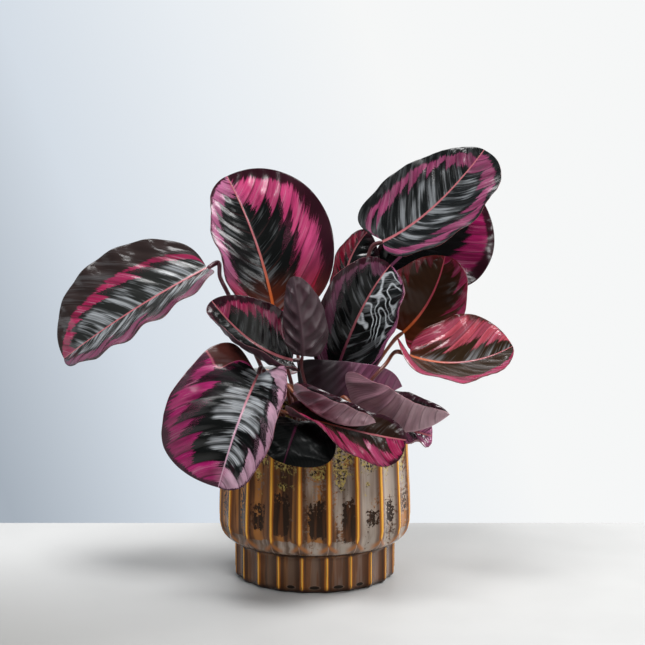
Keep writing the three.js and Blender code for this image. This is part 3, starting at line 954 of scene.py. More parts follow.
@dataclass
class Blade:
    """A leaf's blade: two faces on one curved sheet, with a round edge."""

    leaf: Leaf
    seed: float
    rows: int = 96
    thickness: float = 0.7
    edge_thinning: float = 0.45
    rib_height: float = 0.8
    rib_rise: float = 0.25
    rib_width: float = 1.45
    end_width: tuple[float, float] = (1.6, 0.35)
    lobe_fade: float = 6.0
    lobe_gain: float = 3.2
    fold_fade: float = 10.0
    fold_reach: tuple[float, float] = (0.0, 0.5)
    fold_breadth: float = 0.4
    section_steps: int = 24
    fold_roundness: float = 0.75
    fold_level: float = 0.6
    vein_start: float = 20.5
    vein_shift: float = 0.37

    def columns(self) -> np.ndarray:
        """Places of the columns from one margin to the other, close at midrib and margins."""
        half = np.array([0.0, 0.012, 0.025, 0.042, 0.07, 0.105, *np.linspace(0.15, 0.95, 19), 0.98, 1.0])
        return np.concatenate([-half[:0:-1], half])

    def places(self) -> np.ndarray:
        """Places of the rows along the midrib, close at both ends, as a column."""
        return ((1 - np.cos(np.pi * np.arange(self.rows + 1) / self.rows)) / 2)[:, None]

    def outline(self, u: np.ndarray, broadest: np.ndarray) -> np.ndarray:
        """Share of a half's full width at u."""
        sharpness = self.leaf.sharpness
        at_base = (u / broadest) ** (sharpness * broadest)
        return at_base * ((1 - u) / (1 - broadest)) ** (sharpness * (1 - broadest))

    def midrib(self, u: np.ndarray) -> tuple[np.ndarray, np.ndarray]:
        """The midrib's points and directions.

        Args:
            u: Places along it.

        Returns:
            The points and the directions there.
        """
        base, mid, tip = (np.array(p, float) for p in (self.leaf.base, self.leaf.mid, self.leaf.tip))
        pull = 2 * mid - base / 2 - tip / 2
        u = u[..., None]
        points = base * (1 - u) ** 2 + pull * 2 * u * (1 - u) + tip * u**2
        return points, unit(2 * (1 - u) * (pull - base) + 2 * u * (tip - pull))

    def pick(self, side: np.ndarray, size: Callable[[Half], float]) -> np.ndarray:
        """A size of the left or the right half, by the sign of side."""
        return np.where(side < 0, size(self.leaf.left), size(self.leaf.right))

    def section(
        self, u: np.ndarray, side: np.ndarray, share: np.ndarray, breadth: np.ndarray
    ) -> tuple[np.ndarray, np.ndarray, np.ndarray]:
        """Follows the blade from the midrib outwards.

        Args:
            u: Place along the midrib.
            side: Which half, by sign.
            share: Place from midrib to margin.
            breadth: The half's width there as a share of its full width.

        Returns:
            How far out and up the place lies, as shares of the way to it, and the
            sheet's angle there.
        """
        lift = self.pick(side, lambda h: h.lift[0]) * (1 - u) + self.pick(side, lambda h: h.lift[1]) * u
        curl = self.pick(side, lambda h: h.curl[0]) * (1 - u) + self.pick(side, lambda h: h.curl[1]) * u
        fold = np.where(side < 0, *self.leaf.folds) * (1 - u) ** self.fold_fade
        fold = fold * smooth(breadth, 0.0, self.fold_breadth)

        def angle(near: np.ndarray) -> np.ndarray:
            """The sheet's angle at a share of the way out."""
            return np.radians(lift + curl * breadth * near + fold * smooth(near, *self.fold_reach))

        out, up = np.zeros_like(u), np.zeros_like(u)
        for step in range(self.section_steps):
            here = angle(share * (step + 0.5) / self.section_steps)
            out += np.cos(here) / self.section_steps
            up += np.sin(here) / self.section_steps
        return out, up, angle(share)

    def sheet(self) -> tuple[np.ndarray, np.ndarray, dict[str, np.ndarray]]:
        """The middle of the blade's sheet.

        Returns:
            Its points, its normals on the upper side, and the values that the
            materials read, each as a grid with a row for each u.
        """
        leaf = self.leaf
        u, t = np.broadcast_arrays(self.places(), self.columns())
        side, share = np.sign(t), np.abs(t)
        full, broadest = self.pick(side, lambda h: h.width), self.pick(side, lambda h: h.broadest)
        shape = self.outline(u, broadest)
        end = self.end_width[0] + (self.end_width[1] - self.end_width[0]) * smooth(u, 0.5, 1.0)
        width = end + (full - end) * shape
        along = share * width
        out, up, angle = self.section(u, side, share, width / full)
        out, up = out * along, up * along
        centre, run = self.midrib(u)
        face = np.array(leaf.face) * (1 - u[..., None]) + np.array(leaf.tip_face or leaf.face) * u[..., None]
        face = unit(face - run * np.sum(face * run, axis=-1, keepdims=True))
        right = np.cross(run, face)
        tilt = (side * angle * smooth(share, 0.0, 0.08))[..., None]
        normal = face * np.cos(tilt) - right * np.sin(tilt)
        back = np.where(side < 0, *leaf.lobes) * share**1.5 * self.lobe_gain * shape * (1 - u) ** self.lobe_fade
        height, waves, start = leaf.wave
        wave = height * shape * share**2 * np.sin(2 * np.pi * waves * u + start + side)
        length = float(np.linalg.norm(np.array(leaf.tip) - np.array(leaf.base)))
        count = self.vein_count(u, share, width / length) + self.vein_shift * (side > 0)
        wave = wave + self.quilting(count, share, u, side)
        points = centre - run * back[..., None] + right * (side * out)[..., None]
        points = points + face * up[..., None] + normal * wave[..., None]
        return points, normal, self.paint(u, side, share, along, count)

    def vein_count(self, u: np.ndarray, share: np.ndarray, slimness: np.ndarray) -> np.ndarray:
        """Counts the side veins from the base: whole numbers lie on a vein, which leans to the tip."""
        lean = self.leaf.lean * slimness * (0.55 * share + 0.45 * share**2)
        return self.leaf.veins * (u - lean) + self.vein_start

    def quilting(self, count: np.ndarray, share: np.ndarray, u: np.ndarray, side: np.ndarray) -> np.ndarray:
        """The soft folds between the side veins, and slow unevenness.

        Args:
            count: Number of side veins from the base.
            share: Place from midrib to margin.
            u: Place along the midrib.
            side: Which half, by sign.

        Returns:
            Their height.
        """
        fold = np.abs(np.sin(np.pi * count)) ** self.fold_roundness - self.fold_level
        reach = smooth(share, 0.02, 0.3) * (1 - 0.65 * smooth(share, 0.75, 1.0))
        ends = smooth(u, 0.0, 0.12) * (1 - smooth(u, 0.9, 1.0))
        slow = np.sin(4.1 * share + 7.3 * u + self.seed + side) * np.sin(9.7 * u - 2.2 * share + 2 * self.seed)
        return (self.leaf.relief * fold * reach + self.leaf.unevenness * slow * smooth(share, 0.05, 0.5)) * ends

    def paint(
        self, u: np.ndarray, side: np.ndarray, share: np.ndarray, along: np.ndarray, count: np.ndarray
    ) -> dict[str, np.ndarray]:
        """The values that the materials read.

        Args:
            u: Place along the midrib.
            side: Which half, by sign.
            share: Place from midrib to margin.
            along: Distance from the midrib.
            count: Number of side veins from the base.

        Returns:
            Numbers, vectors and colours by name.
        """
        leaf = self.leaf
        tipward = np.clip((u - 0.5) / 0.5, 0.0, 1.0) ** 1.4 * leaf.closing
        inset = (share**4 + tipward**4) ** 0.25
        inner = self.pick(side, lambda h: h.band.inner)
        ring = (inset - inner) / (self.pick(side, lambda h: h.band.outer) - inner)
        fade = self.pick(side, lambda h: h.painted_sheen_end)
        band = blend(leaf.left.band.tone.rgb(), leaf.right.band.tone.rgb(), smooth(side * share, -0.25, 0.25))
        # Painted glow of light through the blade near its base: the band turns crimson, and the heart and margin
        # rust.
        band_glow = np.minimum(1.7 * leaf.backlit_glow * (1 - smooth(u, 0.04, 0.42)), 1.0)
        backlit_glow = leaf.backlit_glow * (1 - smooth(u, 0.02, 0.3)) * (1 - 0.4 * share)
        # The lower face turns from under to under_tip towards the tip; where under is a shaded tone, that is painted
        # shade at the base, and on the front leaves the lit mauve at the tip is painted light.
        under = blend(leaf.under.rgb(), (leaf.under_tip or leaf.under).rgb(), smooth(u, 0.3, 0.85))
        on_right = side > 0
        return {
            "ring": ring,
            "vein_map": np.stack(np.broadcast_arrays(along, count, self.seed), axis=-1),
            "strength": self.pick(side, lambda h: h.band.strength),
            "band": blend(band, Tone.CRIMSON.rgb(), band_glow),
            "heart": blend(leaf.heart.rgb(), Tone.RUST.rgb(), backlit_glow),
            "margin": blend(leaf.margin.rgb(), Tone.RUST.rgb(), backlit_glow),
            "rib": along / (self.rib_width * (1.1 - 0.75 * u)),
            "rib_tone": blend(leaf.rib_base.rgb(), leaf.rib.rgb(), smooth(u, 0.05, 0.55)),
            "painted_sheen": leaf.painted_sheen * (1 - (1 - leaf.painted_sheen_out) * smooth(ring, fade - 0.25, fade + 0.25)),
            "painted_swirls": leaf.painted_swirls * smooth(u, 0.25, 0.4) * (1 - smooth(share, 0.75, 0.9)) * on_right,
            "flap": leaf.flap * on_right * smooth(share, 0.55, 0.70) * (1 - smooth(u, 0.14, 0.30)),
            "under": under,
            "under_pale": under * 1.45,
            "under_rib": under * (1.9 - 0.6 * u)[..., None],
            **{name: np.full_like(u, getattr(leaf, name)) for name in ("side_veins", "ragged", "pale", "gloss")},
        }

    def make(self, materials: list[bpy.types.Material]) -> bpy.types.Object:
        """Builds the blade.

        Args:
            materials: Those of its upper face, lower face and edge.

        Returns:
            The blade on the part.
        """
        points, normal, values = self.sheet()
        rib = np.exp(-values["rib"] ** 2) * (1 - 0.6 * self.places())
        thin = self.thickness / 2 * (1 - self.edge_thinning * smooth(np.abs(self.columns()), 0.9, 1.0))
        parts = MeshParts()
        upper = parts.vertices(points + normal * (thin + self.rib_rise * rib)[..., None], values)
        lower = parts.vertices(points - normal * (thin + self.rib_height * rib)[..., None], values)
        parts.skin(upper)
        parts.skin(lower, 1, flip=True)
        edge = [np.concatenate([g[0, :-1], g[:-1, -1], g[-1, :0:-1], g[:0:-1, 0]]) for g in (upper, lower)]
        parts.skin(np.stack(edge), 2, flip=True, wrap=True)
        name = self.leaf.name
        return settle(parts.build(f"leaf_{name}", materials), (f"blade_{name}",))


@dataclass
class Stem:
    """A leaf's stem, from its hole in the soil to the blade's base."""

    leaf: Leaf
    seed: float
    soil_height: float = 104.0
    soil_mound: float = 4.0
    depth: float = 12.0
    rise: float = 3.0
    lead: float = 10.0
    overlap: float = 0.8
    foot_swelling: float = 0.25
    foot_taper: tuple[float, float] = (12.0, 45.0)
    tapering: float = 0.12
    taper: tuple[float, float] = (30.0, 90.0)
    joint_length: float = 9.0
    joint_reach: float = 5.0
    joint_swelling: float = 0.18
    end_rounding: float = 2.5
    steps: int = 72
    sides: int = 14

    def path(self) -> np.ndarray:
        """The stem's middle line, which runs on a little under the blade.

        Returns:
            Its points from the hole up.
        """
        base = np.array(self.leaf.base, float)
        along = Blade(self.leaf, self.seed).midrib(np.array([0.0]))[1][0]
        x, y = self.leaf.root
        points = [
            (x, y, self.soil_height - self.depth),
            (x, y, self.soil_height + self.soil_mound + self.rise),
            *self.leaf.via,
            tuple(base - along * self.lead),
            tuple(base + along * self.overlap),
        ]
        return through(points, self.steps)

    def make(self, material: bpy.types.Material) -> bpy.types.Object:
        """Builds the stem.

        Args:
            material: Its only one.

        Returns:
            The stem on the part.
        """
        path = self.path()
        run = unit(np.gradient(path, axis=0))
        span = np.concatenate([[0.0], np.cumsum(np.linalg.norm(np.diff(path, axis=0), axis=1))])
        left = span[-1] - span
        radius = 1 + self.foot_swelling * (1 - smooth(span, *self.foot_taper))
        radius = self.leaf.stem * (radius - self.tapering * smooth(span, *self.taper))
        radius = radius * (1 + self.joint_swelling * np.exp(-(((left - self.joint_length) / self.joint_reach) ** 2)))
        radius = radius * np.sqrt(np.clip(left / self.end_rounding, 0.02, 1.0))
        turn = np.arange(self.sides) / self.sides
        angle = 2 * np.pi * turn[:, None]
        aside = np.array([0.0, 1.0, 0.0])
        rings = []
        for place, direction, size in zip(path, run, radius):
            aside = unit(aside - direction * float(aside @ direction))
            other = np.cross(direction, aside)
            rings.append(place + size * (np.cos(angle) * aside + np.sin(angle) * other))
        share, turn = np.broadcast_arrays((span / span[-1])[:, None], np.abs(turn - 0.5))
        values = {
            "stem_map": np.stack(np.broadcast_arrays(share * span[-1] * 0.02, turn, self.seed), axis=-1),
            "stem_tone": blend(Tone.STEM_MAROON.rgb(), self.leaf.stem_tone.rgb(), smooth(share, 0.5, 0.97)),
        }
        parts = MeshParts()
        index = parts.vertices(np.array(rings), values)
        parts.skin(index, wrap=True)
        parts.cap(index, path[[0, -1]], {key: value[[0, -1], 0] for key, value in values.items()})
        name = self.leaf.name
        return settle(parts.build(f"petiole_{name}", [material]), (f"stem_{name}",))


LEAVES = [
    Leaf(
        "upper_left", (-32, 12, 205), (-46, 20, 258), (-69, 32, 309), (0.15, -0.95, 0.25), (-10, 8), 1.7,
        Half(42, 0.45, (20, 20), (30, 30), Band(0.74, 0.98, 1.0, Tone.LILAC)),
        Half(60, 0.48, (5, 5), band=Band(0.5, 0.82, 1.0, Tone.BRIGHT_ROSE)),
        tip_face=(0.15, -0.95, 0.3), backlit_glow=0.9, side_veins=0.15, painted_sheen=0.35, pale=0.6, gloss=0.6, veins=8,
    ),
    Leaf(
        "upper_right", (53, 12, 259), (91, 4, 286), (130, 6, 330), (-0.2, -0.75, 0.6), (12, 8), 1.7,
        Half(43, 0.38, band=Band(0.62, 0.82, 0.85, Tone.DULL_PINK)),
        Half(40, 0.62, band=Band(0.7, 0.92, 0.85, Tone.DULL_PINK)),
        lobes=(12, 3), wave=(1.5, 4, 0), via=((34, 10, 190),), margin=Tone.NEAR_BLACK, rib_base=Tone.RIB_PINK,
        painted_sheen=0.6, painted_sheen_out=0.4, gloss=0.7, relief=1.5, veins=10, sheen=Sheen.SATIN,
        stem_tone=Tone.STEM_MAROON,
    ),
    Leaf(
        "right_behind", (56, 38, 234), (92, 44, 266), (130, 48, 294), (0.1, -0.95, 0.2), (16, 14), 1.6,
        Half(24, 0.45), Half(54, 0.52, (5, 5), band=Band(0.5, 0.84, 1.0, Tone.MAGENTA)),
        via=((40, 30, 195),), rib=Tone.LILAC, rib_base=Tone.LILAC, painted_sheen=0.1, ragged=0.35, gloss=0.5,
        relief=0.7,
    ),
    Leaf(
        "centre_behind", (26, 24, 202), (25, 30, 236), (42, 36, 266), (0.1, -0.9, 0.2), (2, 12), 1.5,
        Half(14, 0.45, (20, 20), (20, 20), Band(0.3, 1.0, 0.8, Tone.CRIMSON)), Half(28, 0.45),
    ),
    Leaf(
        "centre_glossy", (18, -8, 164), (37, -12, 211), (58, -10, 243), (-0.2, -0.9, 0.3), (6, -8), 1.6,
        Half(34, 0.45, (30, 30), (20, 20), Band(0.62, 0.84, 0.45, Tone.LILAC)),
        Half(40, 0.45, (8, 15), (30, 40), Band(0.93, 1.05, 0.8, Tone.LILAC)),
        rib_base=Tone.RIB_PLUM, painted_sheen=0.4, painted_sheen_out=0.5, pale=1.0, gloss=0.45, painted_swirls=1.0, relief=1.5, veins=6,
        sheen=Sheen.MIRROR,
    ),
    Leaf(
        "centre_under", (-12, -30, 149), (26, -38, 142), (66, -30, 153), (0, 0.2, 1), (4, -12), 1.5,
        Half(12, 0.45, (45, 45), (0, 0), Band()), Half(31, 0.4, (80, 70), (10, 20), Band()),
        lobes=(5, 6), sharpness=0.6, under=Tone.SHADED_PLUM, under_tip=Tone.ORCHID,
    ),
    Leaf(
        "right_red", (69, 8, 189), (89, 4, 215), (101, 10, 248), (-0.2, -0.9, 0.2), (18, 2), 1.6,
        Half(36, 0.45, (25, 25), band=Band(0.78, 1.1, 0.45, Tone.CRIMSON)),
        Half(31, 0.45, band=Band(0.74, 1.1, 0.9, Tone.ROSE)),
        heart=Tone.RED_BROWN, margin=Tone.RUST, rib=Tone.CORAL, backlit_glow=0.6, painted_sheen=0.0, gloss=0.4, relief=0.6,
    ),
    Leaf(
        "right_flat", (72, -24, 175), (111, -32, 171), (149, -36, 184), (-0.1, -0.8, 0.6), (16, -14), 1.7,
        Half(38, 0.55, band=Band(0.42, 0.92, 1.0, Tone.CORAL)),
        Half(35, 0.42, (35, 25), (20, 10), Band(0.74, 0.97, 0.9, Tone.ROSE), painted_sheen_end=-2.9),
        lobes=(5, 12), via=((27, -35, 129), (39, -46, 155), (53, -42, 171)), folds=(0, 135),
        heart=Tone.OLIVE_BROWN, margin=Tone.DARK_RUST, under=Tone.MAUVE, backlit_glow=0.5, painted_sheen=0.6, ragged=0.6,
        lean=1.5, painted_sheen_out=0.4, gloss=0.7, closing=0.1, veins=7,
    ),
    Leaf(
        "front_right", (28, -54, 142), (63, -80, 128), (97, -94, 143), (0.1, -0.1, 1), (14, -24), 1.6,
        Half(30, 0.45, (60, 60), (0, 0)), Half(34, 0.36, (75, 65)),
        lobes=(5, 12), via=((14, -37, 129),), under=Tone.SHADED_MAUVE, under_tip=Tone.LIT_MAUVE,
        unevenness=1.5, relief=2.3, veins=6,
    ),
    Leaf(
        "front_centre", (-15, -58, 152), (14, -86, 136), (44, -98, 138), (0.1, -0.1, 1), (-12, -24), 1.5,
        Half(18, 0.45, (60, 60), (0, 0)), Half(17, 0.45, (75, 75)),
        lobes=(4, 4), under=Tone.SHADED_MAUVE, under_tip=Tone.LIT_MAUVE, unevenness=1.5, relief=2.0, veins=6,
    ),
    Leaf(
        "front_low", (-18, -58, 136), (28, -84, 129), (66, -95, 124), (0, -0.7, 0.7), (-18, -29), 1.5,
        Half(18, 0.45, (15, 0), (-10, -20)),
        Half(25, 0.58, (85, -10), (15, 0), Band(0.5, 0.97, 1.0, Tone.ROSE)),
        tip_face=(0, -0.97, 0.25), sharpness=0.8, heart=Tone.UMBER, under=Tone.MAUVE, gloss=0.35,
        sheen=Sheen.SATIN,
    ),
    Leaf(
        "far_left", (-83, 4, 239), (-139, -12, 208), (-192, -12, 171), (-0.1, -0.8, 0.6), (-22, 0), 1.9,
        Half(46, 0.48, (42, 36), (0, 0), Band(0.7, 0.95, 0.5, Tone.DULL_PINK)),
        Half(51, 0.48, band=Band(0.49, 0.63, 1.0, Tone.ROSE)),
        lobes=(3, 2), wave=(2, 5, 0), via=((-66, -4, 219), (-73, 2, 233)), heart=Tone.SLATE, margin=Tone.SMOKE,
        rib_base=Tone.RIB_PINK, painted_sheen=0.75, painted_sheen_out=0.35, gloss=0.5, closing=0.6, relief=1.0,
        stem_tone=Tone.RIB_PLUM,
    ),
    Leaf(
        "left_folded", (-17, -20, 171), (-47, -44, 189), (-76, -50, 220), (0, -0.9, 0.4), (-14, -6), 1.6,
        Half(28, 0.45, (10, 10), (110, 130)), Half(32, 0.45, band=Band(0.56, 0.8, 1.0, Tone.ROSE)),
        lobes=(2, 2), rib_base=Tone.RIB_PINK, painted_sheen=0.3, pale=0.8, stem_tone=Tone.STEM_MAROON,
    ),
    Leaf(
        "young_upright", (-9, -44, 178), (-10, -46, 201), (-16, -40, 237), (0.1, 0.95, 0), (2, -26), 1.4,
        Half(22, 0.45, (20, 20), (20, 20), Band()), Half(16, 0.45, (20, 20), (20, 20), Band()),
        lobes=(2, 2), wave=(0.8, 3, 0), via=((-2, -38, 138),), under=Tone.DARK_BURGUNDY, unevenness=1.6,
        relief=2.2, veins=5, stem_tone=Tone.STEM_MAROON,
    ),
    Leaf(
        "low_left", (-42, -50, 164), (-56, -88, 132), (-69, -98, 90), (0, -0.8, 0.6), (-20, -16), 1.8,
        Half(42, 0.45, (35, 35), (20, 20), Band(0.7, 1.0, 1.0, Tone.PALE_LILAC)),
        Half(58, 0.5, (36, 0), (50, 10), Band(0.64, 0.93, 1.0, Tone.VIVID), painted_sheen_end=-0.95),
        tip_face=(0, -0.95, 0.1), lobes=(5, 9), margin=Tone.PLUM, rib=Tone.PALE_LILAC, rib_base=Tone.RIB_PINK,
        painted_sheen=0.95, lean=0.6, flap=1.0, gloss=0.7, relief=1.5, veins=8, stem_tone=Tone.STEM_MAROON,
    ),
    Leaf(
        "low_centre", (-12, -60, 131), (-16, -84, 124), (-22, -95, 107), (0, -0.5, 0.8), (-7, -33), 1.5,
        Half(33, 0.55, (6, -20), (0, 0)), Half(24, 0.55),
        tip_face=(0, -0.85, 0.4), lobes=(4, 4), wave=(1, 3, 0), margin=Tone.NEAR_BLACK, rib=Tone.PLUM,
        rib_base=Tone.PLUM, painted_sheen=0.0, gloss=0.12, relief=0.3, sheen=Sheen.SATIN,
    ),
    Leaf(
        "small_right", (58, -53, 128), (74, -62, 124), (87, -64, 121), (0, -0.9, 0.45), (26, -14), 1.3,
        Half(14, 0.5, (10, 10), (20, 20), Band(0.3, 1.1, 1.0, Tone.LILAC)),
        Half(18, 0.6, (10, 10), (60, 90), Band(0.3, 1.1, 1.0, Tone.LILAC)),
        lobes=(3, 3), wave=(2, 3, 0), under=Tone.MAUVE, veins=6,
    ),
    Leaf(
        "back_left", (-30, 40, 150), (-56, 80, 148), (-80, 114, 122), (-0.2, 0.2, 1), (-12, 18), 1.6,
        Half(34, 0.45, (0, 0), (-10, -10), WIDE_PINK), Half(34, 0.45, (0, 0), (-10, -10), EDGE_PINK),
        tip_face=(-0.4, 0.6, 0.7), wave=(1.5, 4, 0),
    ),
    Leaf(
        "back_centre", (2, 46, 132), (8, 88, 128), (14, 126, 98), (0, -0.1, 1), (0, 22), 1.6,
        Half(38, 0.45, (0, 0), (-10, -10), EDGE_PINK), Half(38, 0.45, (0, 0), (-10, -10), WIDE_PINK),
        tip_face=(0, 0.7, 0.7), wave=(1.5, 4, 1),
    ),
    Leaf(
        "back_right", (33, 38, 140), (56, 80, 128), (70, 118, 98), (0.2, 0.2, 1), (14, 20), 1.6,
        Half(34, 0.45, (0, 0), (-10, -10), WIDE_PINK), Half(34, 0.45, (0, 0), (-10, -10), WIDE_PINK),
        tip_face=(0.4, 0.6, 0.7), wave=(1.5, 4, 2),
    ),
    Leaf(
        "back_high_left", (-20, 36, 205), (-36, 64, 240), (-46, 98, 222), (0, -0.3, 0.9), (-8, 14), 1.6,
        Half(34, 0.45, band=WIDE_PINK), Half(34, 0.45, band=EDGE_PINK),
        tip_face=(0, 0.8, 0.6), wave=(1.5, 4, 1),
    ),
    Leaf(
        "back_high_right", (44, 48, 198), (56, 76, 230), (64, 108, 210), (0, -0.3, 0.9), (8, 20), 1.6,
        Half(32, 0.45, band=EDGE_PINK), Half(34, 0.45, band=WIDE_PINK),
        tip_face=(0, 0.8, 0.6), wave=(1.5, 4, 2),
    ),
]

@dataclass
class Foliage:
    """All the leaves: their blades and stems."""

    leaves: list[Leaf] = field(default_factory=lambda: list(LEAVES))
    seed_start: float = 0.4
    seed_step: float = 1.7

    def make(self) -> None:
        """Builds every leaf."""
        uppers = {sheen: UpperFinish(sheen).material() for sheen in Sheen}
        under, rim, stem = UnderFinish().material(), RimFinish().material(), StemFinish().material()
        for number, leaf in enumerate(self.leaves):
            seed = self.seed_step * number + self.seed_start
            Blade(leaf, seed).make([uppers[leaf.sheen], under, rim])
            Stem(leaf, seed).make(stem)


# ---- Pot and soil ----------------------------------------------------------------


# The front flutes' dark patches, by number from the front one to the right: place
# across, height, strength, half width, half height, and the flute's share of haze,
# higher in the right flutes as painted reflection of the light from the right.
PATCHES: dict[int, tuple[float, ...]] = {
    -4: (0.0, 60.0, 0.6, 0.5, 10.0, -0.4),
    -3: (0.5, 62.0, 0.6, 0.4, 14.0, -0.4),
    -2: (-0.15, 58.0, 0.8, 0.5, 10.0, -0.1),
    -1: (-0.35, 62.0, 1.0, 0.60, 16.0, 0.1),
    0: (0.30, 58.5, 1.0, 0.72, 14.0, 0.4),
    1: (0.5, 57.0, 1.0, 0.55, 16.0, 0.6),
    2: (0.3, 57.0, 0.6, 0.5, 6.0, 0.9),
    3: (0.0, 60.0, 0.8, 0.45, 9.0, 0.7),
    4: (0.0, 62.0, 0.6, 0.6, 8.0, 0.4),
}


@dataclass
class Pot:
    """The glazed pot: two tiers of flutes, an open inside and a flat base."""

    height: float = 125.0
    tier_radius: float = 72.5
    bulge: float = 2.9
    bulge_height: float = 18.0
    bulge_length: float = 42.0
    foot_radius: float = 63.1
    waist: float = 29.5
    foot_rounding: float = 4.5
    flutes: int = 21
    flute_depth: float = 3.0
    foot_flute_depth: float = 2.4
    ridge_rounding: float = 0.012
    wall: float = 6.5
    floor: float = 7.0
    arch_start: float = 3.6
    arch_rise: float = 6.0
    arch_slope: float = 3.4
    rim_fade: tuple[float, float] = (6.5, 1.2)
    waist_fade: tuple[float, float] = (3.2, 0.8)
    foot_fade: tuple[float, float] = (-2.0, 2.5)
    steps: int = 22
    # Height above the waist and reach beyond the foot, up the hem.
    hem: tuple[tuple[float, float], ...] = (
        (-0.6, -0.3), (-0.1, -0.1), (0.3, 0.8), (0.8, 2.6), (1.6, 4.3),
        (2.6, 5.8), (4.0, 7.4), (5.6, 8.7), (7.4, 9.8), (9.2, 10.6),
    )
    # Depth below the rim and reach within the tier, over the lip.
    lip: tuple[tuple[float, float], ...] = ((1.6, 0.5), (0.7, 1.2), (0.15, 2.1), (0.0, 2.9))
    # Depth below the rim and reach beyond the tier's inside, down from the lip.
    inner_lip: tuple[tuple[float, float], ...] = ((0.1, 1.6), (0.5, 0.8), (1.4, 0.1), (3.0, 0.0))

    def outside(self) -> np.ndarray:
        """The outside's profile over the ridges.

        Returns:
            Height and radius, from the base up.
        """
        tier, foot, waist, top, rounding = (
            self.tier_radius, self.foot_radius, self.waist, self.height, self.foot_rounding,
        )
        turns = np.linspace(0.0, np.pi / 2, 9)
        edge = [(rounding * (1 - math.cos(a)), foot - rounding * (1 - math.sin(a))) for a in turns]
        wall = [(z, foot) for z in np.linspace(rounding + 1, waist - 1.6, 18)]
        hem = [(waist + rise, foot + reach) for rise, reach in self.hem]
        body = [(z, self.swell(z)) for z in np.linspace(waist + 11, top - 4, 44)]
        lip = [(top - 2.8, self.swell(top - 2.8) - 0.1), *((top - drop, tier - reach) for drop, reach in self.lip)]
        return np.array([*edge, *wall, *hem, *body, *lip])

    def swell(self, z: float) -> float:
        """The upper tier's radius at a height."""
        low = math.exp(-(((z - self.waist - self.bulge_height) / self.bulge_length) ** 2))
        start = min(1.0, max(0.0, (z - self.waist - 9) / 7))
        return self.tier_radius + self.bulge * low * (0.45 + 0.55 * start)

    def inside(self) -> np.ndarray:
        """The inside's profile.

        Returns:
            Height and radius, from the rim down.
        """
        wide, narrow = self.tier_radius - self.wall, self.foot_radius - self.wall
        return np.array([
            *((self.height - drop, wide + reach) for drop, reach in self.inner_lip),
            (self.waist + 12, wide), (self.waist + 2, narrow), (self.floor + 1, narrow), (self.floor, narrow - 1),
        ])

    def flute(self, across: np.ndarray, z: np.ndarray) -> np.ndarray:
        """How far the surface lies in from the ridges, which are rounded.

        Args:
            across: Place across a flute, from -1 to 1.
            z: Height.

        Returns:
            The depth.
        """
        soft = self.ridge_rounding
        hollow = (np.sqrt((1 - across**2) ** 2 + soft) - math.sqrt(soft)) / (math.sqrt(1 + soft) - math.sqrt(soft))
        arch = self.waist + self.arch_start + self.arch_rise * np.abs(across) ** 2.2
        upper = smooth(z, arch, arch + self.arch_slope) * (1 - smooth(z, *(self.height - d for d in self.rim_fade)))
        lower = smooth(z, *self.foot_fade) * (1 - smooth(z, *(self.waist - d for d in self.waist_fade)))
        return hollow * np.where(z > self.waist, self.flute_depth * upper, self.foot_flute_depth * lower)

    def make(self) -> bpy.types.Object:
        """Builds the pot.

        Returns:
            The pot on the part.
        """
        number = np.arange(self.flutes * self.steps)
        across = 2 * (number % self.steps) / self.steps - 1
        turn = number / len(number) + 0.5 / self.flutes
        angle = -np.pi / 2 + 2 * np.pi * turn
        outside, inside = self.outside(), self.inside()
        profile = np.vstack([outside, inside])
        fluted = (np.arange(len(profile)) < len(outside))[:, None]
        z = profile[:, :1] + 0 * across
        radius = profile[:, 1:] - self.flute(across, z) * fluted
        values = {
            "ridge": np.abs(across) ** 7 * self.ridge_strength(z) * fluted,
            "glaze_map": np.stack(np.broadcast_arrays(across, z, turn), axis=-1),
            **self.patches(number // self.steps + 0 * z),
        }
        parts = MeshParts()
        index = parts.vertices(around(radius, angle, z), values)
        parts.skin(index, wrap=True)
        ends = {"ridge": np.zeros(2), "glaze_map": np.zeros((2, 3)), **self.patches(np.zeros(2))}
        parts.cap(index, np.array([(0.0, 0.0, 0.0), (0.0, 0.0, self.floor)]), ends)
        return settle(parts.build("fluted_pot", [GlazeFinish().material()]), ("pot",))

    def patches(self, flute: np.ndarray) -> dict[str, np.ndarray]:
        """The dark patch and the haze of each flute.

        Args:
            flute: Numbers of flutes, from the one right of the front one.

        Returns:
            Place and strength of the patch, and its half sizes with the share of haze, which is partly painted
            reflection.
        """
        rng = np.random.default_rng(21)
        ranges = ((-0.5, 0.5), (55, 64), (0.2, 1.0), (0.4, 0.7), (7, 16), (0.1, 0.9))
        rows = np.stack([rng.uniform(low, high, self.flutes) for low, high in ranges], axis=1)
        rows[[number - 1 for number in PATCHES]] = list(PATCHES.values())
        picked = rows[flute.astype(int)]
        return {"patch_at": picked[..., :3], "patch_size": picked[..., 3:]}

    def ridge_strength(self, z: np.ndarray) -> np.ndarray:
        """How sharp the ridges are at a height, from 0 to 1."""
        upper = smooth(z, self.waist + 7, self.waist + 13) * (1 - 0.2 * smooth(z, self.height - 8, self.height))
        lower = smooth(z, 1.0, 4.0) * (1 - smooth(z, self.waist - 2.5, self.waist - 0.5))
        return np.where(z > self.waist, upper, lower)


